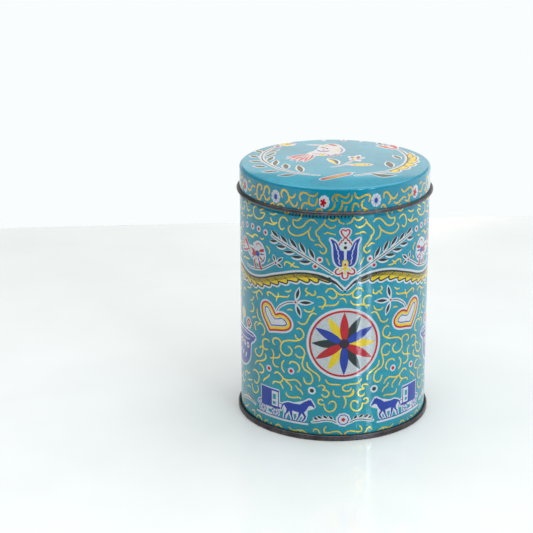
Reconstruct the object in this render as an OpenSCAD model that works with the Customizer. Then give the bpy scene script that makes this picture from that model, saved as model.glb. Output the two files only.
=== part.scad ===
// Round cookie tin: a rolled body sheet with a necked mouth, a double-seamed
// bottom end and a drawn slip lid. The origin is the centre of the ring it
// stands on, +Z is up, and the side seam lies on +X.

/* [Tin] */
// Outer diameter of the body wall
body_d = 114; // [90:1:150]
// Height of the closed tin, at the middle of the lid
tin_h = 156.4; // [120:0.1:200]
// Thickness of the tinplate sheet
sheet_t = 0.3; // [0.25:0.01:0.35]

/* [Lid] */
// Height from the centre of the hem bead to the top of the lid
lid_h = 15.7; // [12:0.1:25]
// Outer radius of the lid's shoulder
lid_shoulder_r = 1.7; // [1.7:0.1:2.4]
// How far the top is domed above the lid's shoulder
dome_h = 1; // [0.5:0.1:1.5]
// Diameter of the hem bead rolled outwards round the lid's edge
hem_d = 2.1; // [2:0.1:3]
// How far round the hem bead is rolled, in degrees
hem_wrap = 310; // [240:5:315]
// How far the skirt stands proud of the body wall
skirt_proud = 0.15; // [0:0.05:0.3]
// Clearance between the skirt and the neck of the body
slip_gap = 0.25; // [0.15:0.05:0.35]

/* [Neck and rim] */
// Height from the top of the neck's step to the centre of the hem bead
neck_drop = 2; // [1.5:0.1:4]
// Angle that the wall turns in at the neck's step
step_a = 30; // [20:5:45]
// Diameter of the rim curled inwards round the mouth
rim_d = 2.1; // [1.8:0.1:2.1]
// How far round the rim is curled, in degrees
rim_wrap = 305; // [240:5:305]
// Gap between the rim and the inside of the lid's shoulder
seat_gap = 0.1; // [0.05:0.05:0.15]

/* [Bottom end] */
// Height of the double seam
seam_h = 3.3; // [3.1:0.1:4]
// How far the double seam stands out from the body wall
seam_proud = 1.8; // [1.8:0.05:2.2]
// Radius of the bends at the foot of the seam, to the sheet's middle
foot_bend = 0.6; // [0.5:0.05:0.65]
// Depth of the two roll grooves in the seam
groove_d = 0.1; // [0.05:0.01:0.12]
// Height of the base panel's underside above the table
panel_z = 3.3; // [3.2:0.1:5]
// Radius of the bend from the base panel down to the seam
chuck_bend = 0.8; // [0.6:0.1:1.5]
// Height of the rings pressed into the base panel
ring_h = 0.6; // [0.3:0.1:1]
// Radii between which the outer ring is pressed down
outer_ring = [43, 49]; // [10:1:60]
// Radii between which the inner ring is pressed down
inner_ring = [26, 30]; // [5:1:40]

/* [Side seam] */
// Width of the folded seam inside the wall
lock_w = 5; // [3:0.5:8]
// Width of the joint line outside
line_w = 0.3; // [0.2:0.05:0.5]
// Depth of the joint line outside
line_d = 0.12; // [0.05:0.01:0.15]

/* [Hidden] */
$fn = 180;

half_t = sheet_t / 2;
wall_r = body_d / 2;
wall_mid = wall_r - half_t;

// Lid: the sheet's middle runs down the skirt and round the hem bead
skirt_r = wall_r + skirt_proud;
skirt_mid = skirt_r - half_t;
hem_z = tin_h - lid_h;
hem_bend = hem_d / 2 - half_t;
shoulder_z = tin_h - dome_h - lid_shoulder_r;
shoulder_c = skirt_r - lid_shoulder_r;
// The dome's sphere runs smoothly into the shoulder at this angle
dome_r = (pow(shoulder_c, 2) + pow(dome_h + lid_shoulder_r, 2) - pow(lid_shoulder_r, 2))
    / (2 * dome_h);
dome_a = asin(shoulder_c / (dome_r - lid_shoulder_r));

// Neck: two equal bends step the wall in to fit inside the skirt
neck_mid = skirt_r - sheet_t - slip_gap - half_t;
step_bend = (wall_mid - neck_mid) / (2 * (1 - cos(step_a)));
step_top = hem_z - neck_drop;
step_foot = step_top - 2 * step_bend * sin(step_a);
// Bends overlap by this angle where they meet
lap_a = 0.05;

// Rim: its curl seats inside the shoulder of the lid
rim_bend = rim_d / 2 - half_t;
rim_c = neck_mid - rim_bend;
seat_reach = lid_shoulder_r - sheet_t - rim_d / 2 - seat_gap;
rim_z = shoulder_z + sqrt(pow(seat_reach, 2) - pow(rim_c - shoulder_c, 2));

// Double seam, from the inside out: chuck wall, body wall, cover hook,
// body hook and seaming wall
chuck_gap = 0.1;
chuck_mid = wall_r - 2 * sheet_t - chuck_gap + half_t;
seam_mid = wall_r + seam_proud - half_t;
hook_bend = 0.55;
hook_c = wall_mid + hook_bend;
hook_z = 1.15;
hook_top = 2.6;
cover_mid = hook_c;
cover_foot = 1.4;
top_bend = (seam_mid - cover_mid) / 2;
top_bend_z = seam_h - half_t - top_bend;
foot_z = foot_bend + half_t;
groove_r = 0.5;
groove_z = [1.35, 2.15];

// Base panel: its line is the underside of the sheet
ring_slope = 0.8;
panel_mid = panel_z + half_t;
panel_end = chuck_mid - chuck_bend;

// Folded side seam
lock_t = 2 * sheet_t;
lock_a = lock_w / wall_r * 180 / PI;
lock_foot = panel_z + 1.5;
lock_top = step_foot - 1;

// Pie shape out to radius r, between two angles
module wedge(r, a0, a1) {
    slices = 5;
    polygon(concat([[0, 0]], [
        for (i = [0:slices])
            let (a = a0 + (a1 - a0) * i / slices)
                [r * cos(a), r * sin(a)]
    ]));
}

// Sheet bent round the point c, with its middle at radius bend_r
module bend(c, bend_r, a0, a1) {
    translate(c)
        intersection() {
            difference() {
                circle(bend_r + half_t);
                circle(bend_r - half_t);
            }
            wedge(2 * (bend_r + half_t), a0, a1);
        }
}

// Upright sheet with its middle at radius r
module upright(r, z0, z1) {
    translate([r - half_t, z0])
        square([sheet_t, z1 - z0]);
}

// Level sheet with its middle at height z
module level(r0, r1, z) {
    translate([r0, z - half_t])
        square([r1 - r0, sheet_t]);
}

// Points on an arc round the point c, between two angles
function arc_points(c, r, a0, a1, steps) = [
    for (i = [0:steps])
        let (a = a0 + (a1 - a0) * i / steps)
            c + r * [cos(a), sin(a)]
];

// Line of the lid's shoulder and dome, at a depth below their outside. It
// runs from the skirt to the axis, or the other way where back is true.
function crown_line(depth, back = false) =
    let (
        shoulder = arc_points([shoulder_c, shoulder_z], lid_shoulder_r - depth, 0, 90 - dome_a, 16),
        dome = arc_points([0, tin_h - dome_r], dome_r - depth, 90 - dome_a, 90, 6),
        line = concat(shoulder, [for (i = [1:6]) dome[i]]),
        last = len(line) - 1
    )
    [for (i = [0:last]) line[back ? last - i : i]];

module body_profile() {
    upright(hook_c + hook_bend, hook_z, hook_top);
    bend([hook_c, hook_z], hook_bend, 180, 360);
    upright(wall_mid, hook_z, step_foot);
    bend([wall_mid - step_bend, step_foot], step_bend, 0, step_a + lap_a);
    bend([neck_mid + step_bend, step_top], step_bend, 180, 180 + step_a + lap_a);
    upright(neck_mid, step_top, rim_z);
    bend([rim_c, rim_z], rim_bend, 0, rim_wrap);
}

module lid_profile() {
    polygon(concat(crown_line(0), crown_line(sheet_t, true)));
    upright(skirt_mid, hem_z, shoulder_z);
    bend([skirt_mid + hem_bend, hem_z], hem_bend, 180, 180 + hem_wrap);
}

// Base panel with its two pressed rings
module panel_profile() {
    rings = [inner_ring, outer_ring];
    underside = concat(
        [[0, panel_z]],
        [for (ring = rings) each [
            [ring[0], panel_z],
            [ring[0] + ring_slope, panel_z - ring_h],
            [ring[1] - ring_slope, panel_z - ring_h],
            [ring[1], panel_z]
        ]],
        [[panel_end, panel_z]]
    );
    count = len(underside);
    topside = [for (i = [1:count]) underside[count - i] + [0, sheet_t]];
    polygon(concat(underside, topside));
}

module end_profile() {
    panel_profile();
    bend([panel_end, panel_mid - chuck_bend], chuck_bend, 0, 90);
    upright(chuck_mid, foot_z, panel_mid - chuck_bend);
    bend([chuck_mid + foot_bend, foot_z], foot_bend, 180, 270);
    level(chuck_mid + foot_bend, seam_mid - foot_bend, half_t);
    bend([seam_mid - foot_bend, foot_z], foot_bend, 270, 360);
    upright(seam_mid, foot_z, top_bend_z);
    bend([cover_mid + top_bend, top_bend_z], top_bend, 0, 180);
    upright(cover_mid, cover_foot, top_bend_z);
}

// Rolled sheet with its folded side seam, necked and curled at the mouth
module body_shell() {
    color([0.12, 0.5, 0.6])
        difference() {
            union() {
                rotate_extrude()
                    body_profile();
                rotate([0, 0, -lock_a / 2])
                    rotate_extrude(angle = lock_a)
                        translate([wall_r - sheet_t - lock_t, lock_foot])
                            square([lock_t + half_t, lock_top - lock_foot]);
            }
            translate([wall_r - line_d, -line_w / 2, seam_h])
                cube([1, line_w, lock_top - seam_h]);
        }
}

// Stamped disc whose edge is rolled together with the foot of the body
module bottom_end() {
    color([0.35, 0.35, 0.37])
        rotate_extrude()
            difference() {
                end_profile();
                for (z = groove_z)
                    translate([seam_mid + half_t - groove_d + groove_r, z])
                        circle(groove_r);
            }
}

// Drawn cup with its edge rolled outwards into a bead
module lid() {
    color([0.3, 0.62, 0.7])
        rotate_extrude()
            lid_profile();
}

body_shell();
bottom_end();
lid();
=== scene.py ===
"""Looks of the cookie tin: printed enamel and inks, bare tinplate, floor, light and camera.

The print is drawn flat, in millimetres, as it lies on the sheet before it is rolled. Each sheet is
then cut into a mosaic along every outline, so that each ink is a piece of its own that meets its
neighbours edge to edge, and the mosaic is wrapped round the CAD tin.
"""

import math

import bpy
import numpy as np
from mathutils import Matrix, Vector
from mathutils.geometry import delaunay_2d_cdt


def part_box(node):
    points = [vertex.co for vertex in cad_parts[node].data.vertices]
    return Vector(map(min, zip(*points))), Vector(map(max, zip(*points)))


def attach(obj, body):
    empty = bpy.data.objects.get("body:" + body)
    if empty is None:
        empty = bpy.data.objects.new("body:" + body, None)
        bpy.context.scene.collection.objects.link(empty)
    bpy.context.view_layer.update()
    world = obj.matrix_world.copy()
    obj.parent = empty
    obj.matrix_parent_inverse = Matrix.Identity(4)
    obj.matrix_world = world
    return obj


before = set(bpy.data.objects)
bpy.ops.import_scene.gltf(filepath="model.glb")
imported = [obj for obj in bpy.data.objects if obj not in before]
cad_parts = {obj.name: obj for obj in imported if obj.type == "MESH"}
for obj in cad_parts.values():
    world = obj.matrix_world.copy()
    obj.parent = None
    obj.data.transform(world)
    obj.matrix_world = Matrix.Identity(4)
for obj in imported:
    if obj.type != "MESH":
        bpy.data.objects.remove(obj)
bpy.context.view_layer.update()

MM = 0.001


# ---------------------------------------------------------------- sizes, from the CAD frame

def outer_radius(node, low, high):
    """Largest radius of a CAD node's corners between two heights, in mm."""
    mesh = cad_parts[node].data
    flat = np.empty(len(mesh.vertices) * 3)
    mesh.vertices.foreach_get("co", flat)
    points = flat.reshape(-1, 3) / MM
    inside = (points[:, 2] > low) & (points[:, 2] < high)
    return float(np.hypot(points[inside, 0], points[inside, 1]).max())


# Sizes that the frame's boxes don't give: the hem bead's diameter, the shoulder's radius, the rise
# of the dome, the height of the double seam and the drop from the hem to the neck's step
HEM_D = 2.1
SHOULDER = 1.7
DOME_H = 1.0
SEAM_TOP = 3.3
NECK_DROP = 2.0

TIN_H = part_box("lid")[1][2] / MM
HEM_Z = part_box("lid")[0][2] / MM + HEM_D / 2
STEP_TOP = HEM_Z - NECK_DROP
SHOULDER_Z = TIN_H - DOME_H - SHOULDER

# Half the height of the band in which a radius is measured, where the piece has corners all round
BAND = 0.05
WALL_R = outer_radius("body_shell", STEP_TOP - 2, STEP_TOP - 1)
NECK_R = outer_radius("body_shell", STEP_TOP - BAND, STEP_TOP + BAND)
SKIRT_R = outer_radius("lid", SHOULDER_Z - BAND, SHOULDER_Z + BAND)
FULL_TURN = 2 * math.pi * WALL_R
QUARTER_TURN = FULL_TURN / 4

# The inks stand this far off the CAD sheet, and a full turn of sheet is cut into this many columns
INK_LIFT = 0.05
COLUMNS = 180
COLUMN_ANGLE = 2 * math.pi / COLUMNS


# ---------------------------------------------------------------- drawing on the flat sheet
# A shape is (ink, outline). An outline is an array of points in mm. Later shapes cover earlier ones.

def curve(points, closed=False, step=0.4):
    """Smooth curve through a few points."""
    p = np.array(points, float)
    if closed:
        p = np.vstack([p[-1], p, p[0], p[1]])
    else:
        p = np.vstack([2 * p[0] - p[1], p, 2 * p[-1] - p[-2]])
    out = []
    for a, b, c, d in zip(p, p[1:], p[2:], p[3:]):
        count = max(2, math.ceil(np.hypot(*(c - b)) / step))
        t = np.arange(count)[:, None] / count
        out.append(0.5 * (2 * b + (c - a) * t + (2 * a - 5 * b + 4 * c - d) * t ** 2
                          + (3 * b - a - 3 * c + d) * t ** 3))
    if not closed:
        out.append(p[-2:-1])
    return np.vstack(out)


def arc(centre, radius, start, sweep, step=8):
    """Points along an arc, angles in degrees."""
    angles = np.radians(start + np.linspace(0, sweep, max(2, math.ceil(abs(sweep) / step)) + 1))
    return np.array(centre) + np.column_stack([np.cos(angles), np.sin(angles)]) * radius


def oval(centre, half_w, half_h=None, turn=0, count=28):
    """Outline of a circle or an ellipse."""
    angles = np.arange(count) * 2 * math.pi / count
    ring = np.column_stack([np.cos(angles) * half_w, np.sin(angles) * (half_h or half_w)])
    return turned(ring, turn) + np.array(centre)


def turned(points, degrees):
    """Points turned anticlockwise about the origin."""
    c, s = math.cos(math.radians(degrees)), math.sin(math.radians(degrees))
    return np.asarray(points, float) @ np.array([[c, s], [-s, c]])


def normals_of(path, closed):
    """Unit normals, to the left of the path."""
    if closed:
        along = np.roll(path, -1, 0) - np.roll(path, 1, 0)
    else:
        along = np.gradient(path, axis=0)
    along /= np.maximum(np.hypot(along[:, 0], along[:, 1]), 1e-9)[:, None]
    return np.column_stack([-along[:, 1], along[:, 0]])


def stroke(path, width, thin=0.7):
    """Outline of a pen line with round ends that are a little thinner than its middle."""
    path = np.asarray(path, float)
    normal = normals_of(path, False)
    run = np.concatenate([[0], np.cumsum(np.hypot(*np.diff(path, axis=0).T))])
    from_end = np.minimum(run, run[-1] - run) / (3 * width)
    half = width / 2 * (thin + (1 - thin) * np.clip(from_end, 0, 1) ** 0.5)[:, None]
    left, right = path + normal * half, path - normal * half
    caps = []
    for end, unit, radius in ((-1, normal[-1], half[-1, 0]), (0, -normal[0], half[0, 0])):
        facing = math.degrees(math.atan2(unit[1], unit[0]))
        caps.append(arc(path[end], radius, facing, -180, 30)[1:-1])
    return np.vstack([left, caps[0], right[::-1], caps[1]])


# Share of the distance that a grown outline's points have to keep from the first outline
KEPT_GAP = 0.96


def grow(outline, by):
    """Outline moved outwards by a distance, or inwards where it is negative, without its folds."""
    following = np.roll(outline, -1, 0)
    area = np.sum(outline[:, 0] * following[:, 1] - following[:, 0] * outline[:, 1])
    grown = outline - normals_of(outline, True) * by * np.sign(area)
    along = following - outline
    length2 = np.maximum((along ** 2).sum(1), 1e-12)
    reach = grown[:, None] - outline[None]
    t = np.clip((reach * along[None]).sum(2) / length2, 0, 1)
    gap = np.sqrt(((reach - t[..., None] * along[None]) ** 2).sum(2).min(1))
    return grown[gap > abs(by) * KEPT_GAP]


def leaf(base, tip, width, bow=0.0, count=12):
    """Pointed leaf from base to tip; a positive bow bends it to the left."""
    base, tip = np.array(base, float), np.array(tip, float)
    along = tip - base
    side = np.array([-along[1], along[0]]) / np.hypot(*along)
    t = np.arange(count + 1) / count
    swell = np.sin(math.pi * t)
    middle = base + np.outer(t, along) + np.outer(swell * bow, side)
    left = middle + np.outer(swell * width / 2, side)
    right = middle - np.outer(swell * width / 2, side)
    return np.vstack([left, right[-2:0:-1]])


def moved(shapes, at=(0, 0), turn=0, mirror=False):
    """Shapes turned, mirrored left to right, then put in place."""
    flip = np.array([-1.0, 1.0]) if mirror else np.ones(2)
    return [(ink, turned(outline, turn) * flip + np.array(at)) for ink, outline in shapes]


def bordered(shapes, border):
    """The shapes over a white border of their own."""
    return [("white", grow(outline, border)) for _, outline in shapes] + shapes


def pen(ink, points, width, thin=0.7):
    """Pen line of an ink through a few points."""
    return ink, stroke(curve(points), width, thin)


# ---------------------------------------------------------------- motifs of the body's print

def rosette():
    """Round field with twelve petals in four inks."""
    centre, petal_w = np.array((0, 61.3)), 5.1
    shapes = [("white", oval(centre, 22.2, count=120)), ("red", oval(centre, 20.8, count=120)),
              ("pale", oval(centre, 19.5, count=120))]
    for ink, first, tip_r in (("yellow", 3, 19.1), ("dark", 1, 19.3), ("blue", 2, 19.8),
                              ("red", 0, 19.8)):
        for turn in (0, 120, 240):
            petal = turned(leaf((-1.2, 0), (tip_r, 0), petal_w, count=20), 90 - 30 * first - turn)
            shapes.append((ink, petal + centre))
    return shapes + [("plum", oval(centre, 3.0, count=40))]


def tulip_half():
    """Left half of the tulip at the top of the axis: shapes in painting order."""
    petal = curve([(-8.5, 125.4), (-5.9, 124.2), (-4.2, 121.9), (-3.1, 119.3), (-2.3, 118.5),
                   (-1.2, 118.4), (-0.8, 117), (-0.8, 112.6), (-1.7, 109.5), (-2.6, 108.7), (-4.7, 109.6),
                   (-6.2, 112), (-6.8, 115.5), (-7, 119.5), (-7.4, 122.3)], closed=True)
    vein = curve([(-6.1, 123), (-5.3, 121), (-4.9, 119.2), (-4.1, 118), (-4.3, 116.8), (-3.7, 115.4),
                  (-4.1, 113.8), (-3.3, 112.3), (-3.7, 111.2), (-2.9, 110)])
    heart = curve([(0, 130), (-0.9, 130.9), (-2, 130.7), (-2.5, 129.7), (-1.9, 128.3), (-0.9, 127),
                   (0, 126)])
    crown = curve([(0, 126), (-1, 125.5), (-1.2, 124.7), (-2.2, 124.5), (-2.4, 123.4), (-3.2, 123),
                   (-3.6, 121.8)])
    lobe = curve([(-3.8, 107.7), (-5.2, 106.6), (-5.5, 105), (-4.3, 104.2), (-2.6, 104.5), (-1.6, 105.3),
                  (-1.7, 103.5), (-1.2, 102), (0, 101.4)])
    under = [("white", grow(petal, 1.0)), ("white", grow(np.vstack([heart, heart[::-1] * [-1, 1]]), 1.2)),
             ("white", np.vstack([crown, [[-2, 118], [0, 117]], [[0, 126]]])),
             ("white", stroke(crown, 2.6)), ("white", stroke(lobe, 3.0)),
             ("white", np.array([(0, 119), (-3, 119), (-4.5, 109), (-4.8, 106), (-2, 103), (0, 102.5)]))]
    over = [("red", stroke(heart, 0.9)), ("red", stroke(crown, 0.8)), ("red", stroke(lobe, 0.95)),
            ("blue", petal), ("white", stroke(vein, 0.5))]
    return under, over


def tulip():
    """Tulip on the axis, with a small heart above it and a fleuron below."""
    under, over = tulip_half()
    shapes = under + moved(under, mirror=True) + over + moved(over, mirror=True)
    shapes += [("dark", oval((0, 123), 0.75, count=14)), ("dark", oval((0, 120.2), 1, count=16)),
               ("yellow", oval((0, 110.6), 1.9, 2.5)), ("white", oval((0, 110.5), 0.85, 1.45)),
               ("red", oval((0, 110), 0.6, 0.85, count=16)),
               pen("yellow", [(-3.4, 106), (-2, 107.1), (0, 107.9), (2, 107.1), (3.4, 106)], 1.0),
               pen("yellow", [(0, 108.6), (0, 106.6), (0, 104.3)], 1.1)]
    return shapes


def sprig(stem, leaves, border=0.75, crescent=0.45):
    """Branch with leaves: each leaf is a dark core on a white leaf that hangs lower."""
    line = curve(stem)
    shapes = [("white", stroke(line, 2.0, thin=0.9))]
    for base, tip, width in leaves:
        white = grow(leaf(base, tip, width + 0.3), border)
        shapes.append(("white", white - np.array([0, crescent])))
    for base, tip, width in leaves:
        base, tip = np.array(base), np.array(tip)
        shapes.append(("dark", leaf(base - 0.1 * (tip - base), tip + 0.12 * (tip - base), width + 0.55)))
    return shapes + [("dark", stroke(line, 0.5))]


def berry(x, z, ink="red", radius=1.0, halo=1.9):
    """Round berry with a white halo."""
    return [("white", oval((x, z), halo)), (ink, oval((x, z), radius, count=20))]


def long_sprig():
    """Branch that rises from the tulip to the left, with two berries."""
    leaves = [((-18, 113.5), (-20.8, 118.9), 1.4), ((-23.4, 116.4), (-26.5, 122), 1.4),
              ((-28.6, 118.8), (-32.8, 123.6), 1.5), ((-34.7, 121), (-38.9, 124.4), 1.4),
              ((-40.9, 123.3), (-45.4, 126.3), 1.4), ((-20.1, 111.2), (-26.1, 110.6), 1.3),
              ((-25, 113.4), (-31.2, 112.9), 1.3), ((-30.4, 115.7), (-36.4, 115.2), 1.2),
              ((-36, 118), (-41.4, 117.7), 1.2), ((-41.6, 120.5), (-46.6, 120), 1.2)]
    stem = [(-7.3, 104.6), (-13, 108.3), (-20, 112.5), (-30, 117.3), (-38, 120.5), (-45.6, 123.3)]
    return sprig(stem, leaves) + berry(-14.6, 112.7) + berry(-17.3, 108.5, halo=1.7)


def trefoil(centre, tips, width, border=0.8):
    """Three leaves round a red eye."""
    centre = np.array(centre, float)
    whites, leaves = [], []
    for tip in np.array(tips, float):
        whites.append(("white", leaf(centre, centre + (tip - centre) * 1.14, width + 2 * border)))
        leaves.append(("dark", leaf(centre + (tip - centre) * 0.24, tip, width)))
    return whites + leaves + [("white", oval(centre, 1.2)), ("red", oval(centre, 0.75, count=16))]


def heart():
    """Tilted heart in nested outlines, on a curved stalk with three leaves."""
    left = curve([(-47.5, 63.7), (-50.8, 68.3), (-53.5, 72.5), (-54.6, 76.8), (-53.4, 80.3), (-50.3, 82),
                  (-46.6, 81), (-44.2, 78.4), (-42.5, 75.7)])
    right = curve([(-42.5, 75.7), (-40.8, 76.7), (-37.9, 77.1), (-34.6, 75.9), (-32.1, 73.2),
                   (-31.6, 70.1), (-33.3, 67.4), (-37, 65.8), (-42, 65), (-47.5, 63.7)])
    outline = np.vstack([left[:-1], right[:-1]])
    stalk = curve([(-42, 77.6), (-40, 80.6), (-37, 82.9), (-33.6, 84.5), (-29.8, 85.1)])
    shapes = [("white", stroke(stalk, 2.2)), ("white", grow(outline, 1.1)), ("dark", stroke(stalk, 0.5))]
    insets = ((0, "red"), (1.25, "yellow"), (2.75, "white"), (3.2, "blue"), (3.85, "white"))
    shapes += [(ink, grow(outline, -inset) if inset else outline) for inset, ink in insets]
    return shapes + trefoil((-29.1, 85.3), [(-27, 94), (-19, 86.2), (-26, 77)], 1.9)


GARLAND = [(-0.4, 95.6), (-2.5, 97.7), (-5, 100.3), (-8.5, 102.2), (-14, 104.2), (-20, 105), (-25, 104.9),
           (-31, 104), (-38, 102), (-45, 99.8), (-52, 97.2), (-59, 95.4), (-66, 94.9), (-73, 95.8),
           (-80, 97.6), (-89.6, 98.6)]


def garland():
    """Swag of yellow feathers hanging from a dark line, which has a white line over it."""
    line = curve(GARLAND)
    down = normals_of(line, False)
    top = line[::-1]
    tips = [-8.5, -15.6, -21.1, -27.9, -34.7, -41, -47.2, -53.3, -59.4, -65.6, -71.6, -77.4, -83.4, -89.6]
    depths = [1.6, 4.6, 5.4, 5.5, 6, 6.1, 6, 5.9, 5.7, 5.4, 5, 4.6, 4.4, 4.2]
    ends = [(x, float(np.interp(x, top[:, 0], top[:, 1])) - depth) for x, depth in zip(tips, depths)]
    lower, notches = [], []
    for (right_x, right_z), (left_x, left_z) in reversed(list(zip(ends, ends[1:]))):
        notch = (left_x + 0.1, left_z + 1.5)
        middle = (left_x + 0.45 * (right_x - left_x), left_z * 0.3 + right_z * 0.7 + 0.05)
        lower.append(curve([notch, middle, (right_x - 1.2, right_z - 0.85),
                            (right_x - 0.2, right_z - 0.5), (right_x + 0.05, right_z + 0.3),
                            (right_x - 0.3, right_z + 1)]))
        notches.append(notch)
    upper = (line + down * 1.7)[(line[:, 0] < -9.6) & (line[:, 0] > -88.6)]
    band = np.vstack(lower + [upper])
    shapes = [("white", grow(band, 1.85)), ("white", stroke(line, 1.3, thin=1)),
              ("white", stroke(line + down * 1.1, 2.8)), ("dark", grow(band, 0.85)), ("yellow", band)]
    for i in range(2, len(line) - 2, 2):
        start = line[i] + down[i] * 1.3
        shapes.append(("dark", stroke([start, start + (1.1, -1.1), start + (2.2, -2.2)], 0.42)))
    for x, z in notches:
        shapes.append(pen("dark", [(x, z), (x - 1.6, z + 0.6), (x - 3.4, z + 1.8)], 0.34))
    return shapes + [("dark", stroke(line + down * 1.1, 1.0, thin=1))]


def bird():
    """Folk bird looking back over its wing, on a branch that ends in three leaves."""
    branch = curve([(-43.4, 106.9), (-48, 104.1), (-53, 101.3), (-60, 99.5), (-66, 98.9), (-70.5, 99.4)])
    body = curve([(-61.8, 114.2), (-60, 115.2), (-58.2, 116.3), (-55.8, 116.5), (-53.4, 115),
                  (-51.9, 112.6), (-51.1, 109.6), (-51.7, 106.8), (-53.4, 104.8), (-56, 104),
                  (-59, 104.1), (-62.5, 104.9), (-65.8, 106.6), (-68.4, 108), (-68.6, 111.4),
                  (-66, 111.8), (-63, 112), (-60, 111.5), (-57.4, 112.5), (-57.8, 113.6), (-59.8, 113.5)],
                 closed=True)
    tips = [(-78.4, 106.6), (-79.4, 108.8), (-79.6, 111), (-78.6, 113.2), (-76.4, 115.2), (-73.8, 116)]
    tail = [leaf((-67.4, 109.8), tip, 2.1) for tip in tips]
    legs = [(curve([(-61.2, 104.6), (-60.8, 102.4), (-59.4, 99.8)]), 1.6),
            (curve([(-56, 104.4), (-55.8, 102.6), (-54.4, 100.8)]), 2.2)]
    shapes = [("white", stroke(branch, 2.0)), ("white", grow(body, 0.9))]
    shapes += [("white", grow(outline, 0.6)) for outline in tail]
    shapes += [("white", stroke(line, width + 1.4)) for line, width in legs]
    shapes += [("dark", stroke(branch, 0.5)), ("white", body)]
    shapes += [("red", outline) for outline in tail]
    shapes += [("white", leaf((-68.6, 109.8), tip, 0.9))
               for tip in ((-78, 107.7), (-78.6, 110), (-78.2, 112.1), (-76.6, 114.1))]
    shapes += [("red", stroke(line, width)) for line, width in legs]
    shapes += [("red", curve([(-65, 111.2), (-62.6, 111.3), (-60.2, 110.2), (-59, 108.8), (-60.2, 107.3),
                              (-62.6, 106.9), (-64.2, 107.8), (-63.2, 109.4)], closed=True)),
               ("red", curve([(-56.6, 110.9), (-55.2, 112.5), (-52.5, 113.4), (-51.9, 112.1),
                              (-54, 111.1)], closed=True)),
               pen("red", [(-59.4, 114.6), (-57.4, 115.6), (-55.4, 115.4), (-53.8, 114.2)], 0.55),
               ("blue", oval((-58, 109.3), 2, 1.9)), ("dark", oval((-59.2, 114), 0.35, count=10))]
    for ink, base, tip, width in (("blue", (-56.8, 109.4), (-51.3, 110.1), 0.9),
                                  ("red", (-57, 108.2), (-52.8, 105.8), 1.1),
                                  ("blue", (-57.8, 107.6), (-56.2, 104.2), 0.9),
                                  ("red", (-59.6, 107), (-59.8, 104.5), 0.7),
                                  ("blue", (-61.8, 106.8), (-64, 105.4), 0.9)):
        shapes.append((ink, leaf(base, tip, width)))
    for line in ([(-51.6, 108.6), (-52.4, 106.3), (-54.6, 104.7)],
                 [(-66.2, 111.2), (-66.8, 109.6), (-66.4, 107.6)]):
        shapes.append(pen("blue", line, 0.7))
    return shapes + trefoil((-42.7, 107.1), [(-37.8, 111), (-38.2, 105.5), (-44.5, 111.6)], 1.4,
                            border=0.6)


def horse():
    """Walking horse."""
    back = [(-17.3, 20.2), (-16.9, 20.9), (-18, 22.9), (-19, 24.5), (-19.2, 25.2), (-19.9, 24.7),
            (-20.7, 25.4), (-21, 24.7), (-23.5, 23.4), (-26, 21.5), (-30, 21.3), (-34, 21.6),
            (-36.6, 20.3)]
    hind = [(-36.2, 18.4), (-35, 16.9), (-35.2, 15), (-36.5, 13.5), (-36.9, 10.7), (-35.9, 10.7),
            (-35.5, 13.2), (-34, 14.8), (-33, 16), (-32.6, 14.2), (-31.9, 12.6), (-31.4, 10.7),
            (-30.3, 10.7), (-31, 12.9), (-31.1, 16.6)]
    fore = [(-26.9, 16.1), (-27.3, 13.4), (-28.7, 10.7), (-27.7, 10.7), (-26.3, 13.3), (-25, 15.8),
            (-23.4, 13.7), (-24, 12.4), (-25.3, 10.8), (-24.2, 10.7), (-22.7, 12.4), (-22.2, 14.2),
            (-23.6, 16.4), (-22, 18.4), (-20.8, 20.8), (-19.2, 21.4)]
    body = np.array(back + hind + fore)
    tail = stroke(curve([(-36.3, 20.3), (-37.6, 18.9), (-38.3, 17.2), (-38.8, 15.6)]), 0.9)
    return [("blue", body), ("blue", tail)]


def cart():
    """Covered cart: a plain box with a window, two wheels and shafts."""
    box = np.array([(-54.6, 15.4), (-54.6, 27.3), (-40.3, 27.3), (-40.3, 26.1), (-45.8, 26.1),
                    (-45.8, 16.8), (-39.4, 16.8), (-39.4, 15.4)])
    post = stroke([(-40.8, 15.6), (-40.8, 21), (-40.8, 26.8)], 0.7, thin=1)
    shafts = stroke(curve([(-41, 19.6), (-38.5, 19.2), (-34.5, 18.9)]), 0.5)
    step = stroke(curve([(-54.8, 17.8), (-56.6, 17.2), (-57.8, 15.6)]), 0.8)
    shapes = [("blue", box), ("blue", post), ("blue", shafts), ("blue", step)]
    for centre, radius in (((-53.2, 13), 2.7), ((-43.3, 12.8), 2.5)):
        shapes.append(("blue", stroke(arc(centre, radius, 0, 355), 0.55, thin=1)))
        for i in range(3):
            ends = turned([(-radius, 0), (0, 0), (radius, 0)], 60 * i + 20) + np.array(centre)
            shapes.append(("blue", stroke(ends, 0.4, thin=1)))
    return shapes


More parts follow.
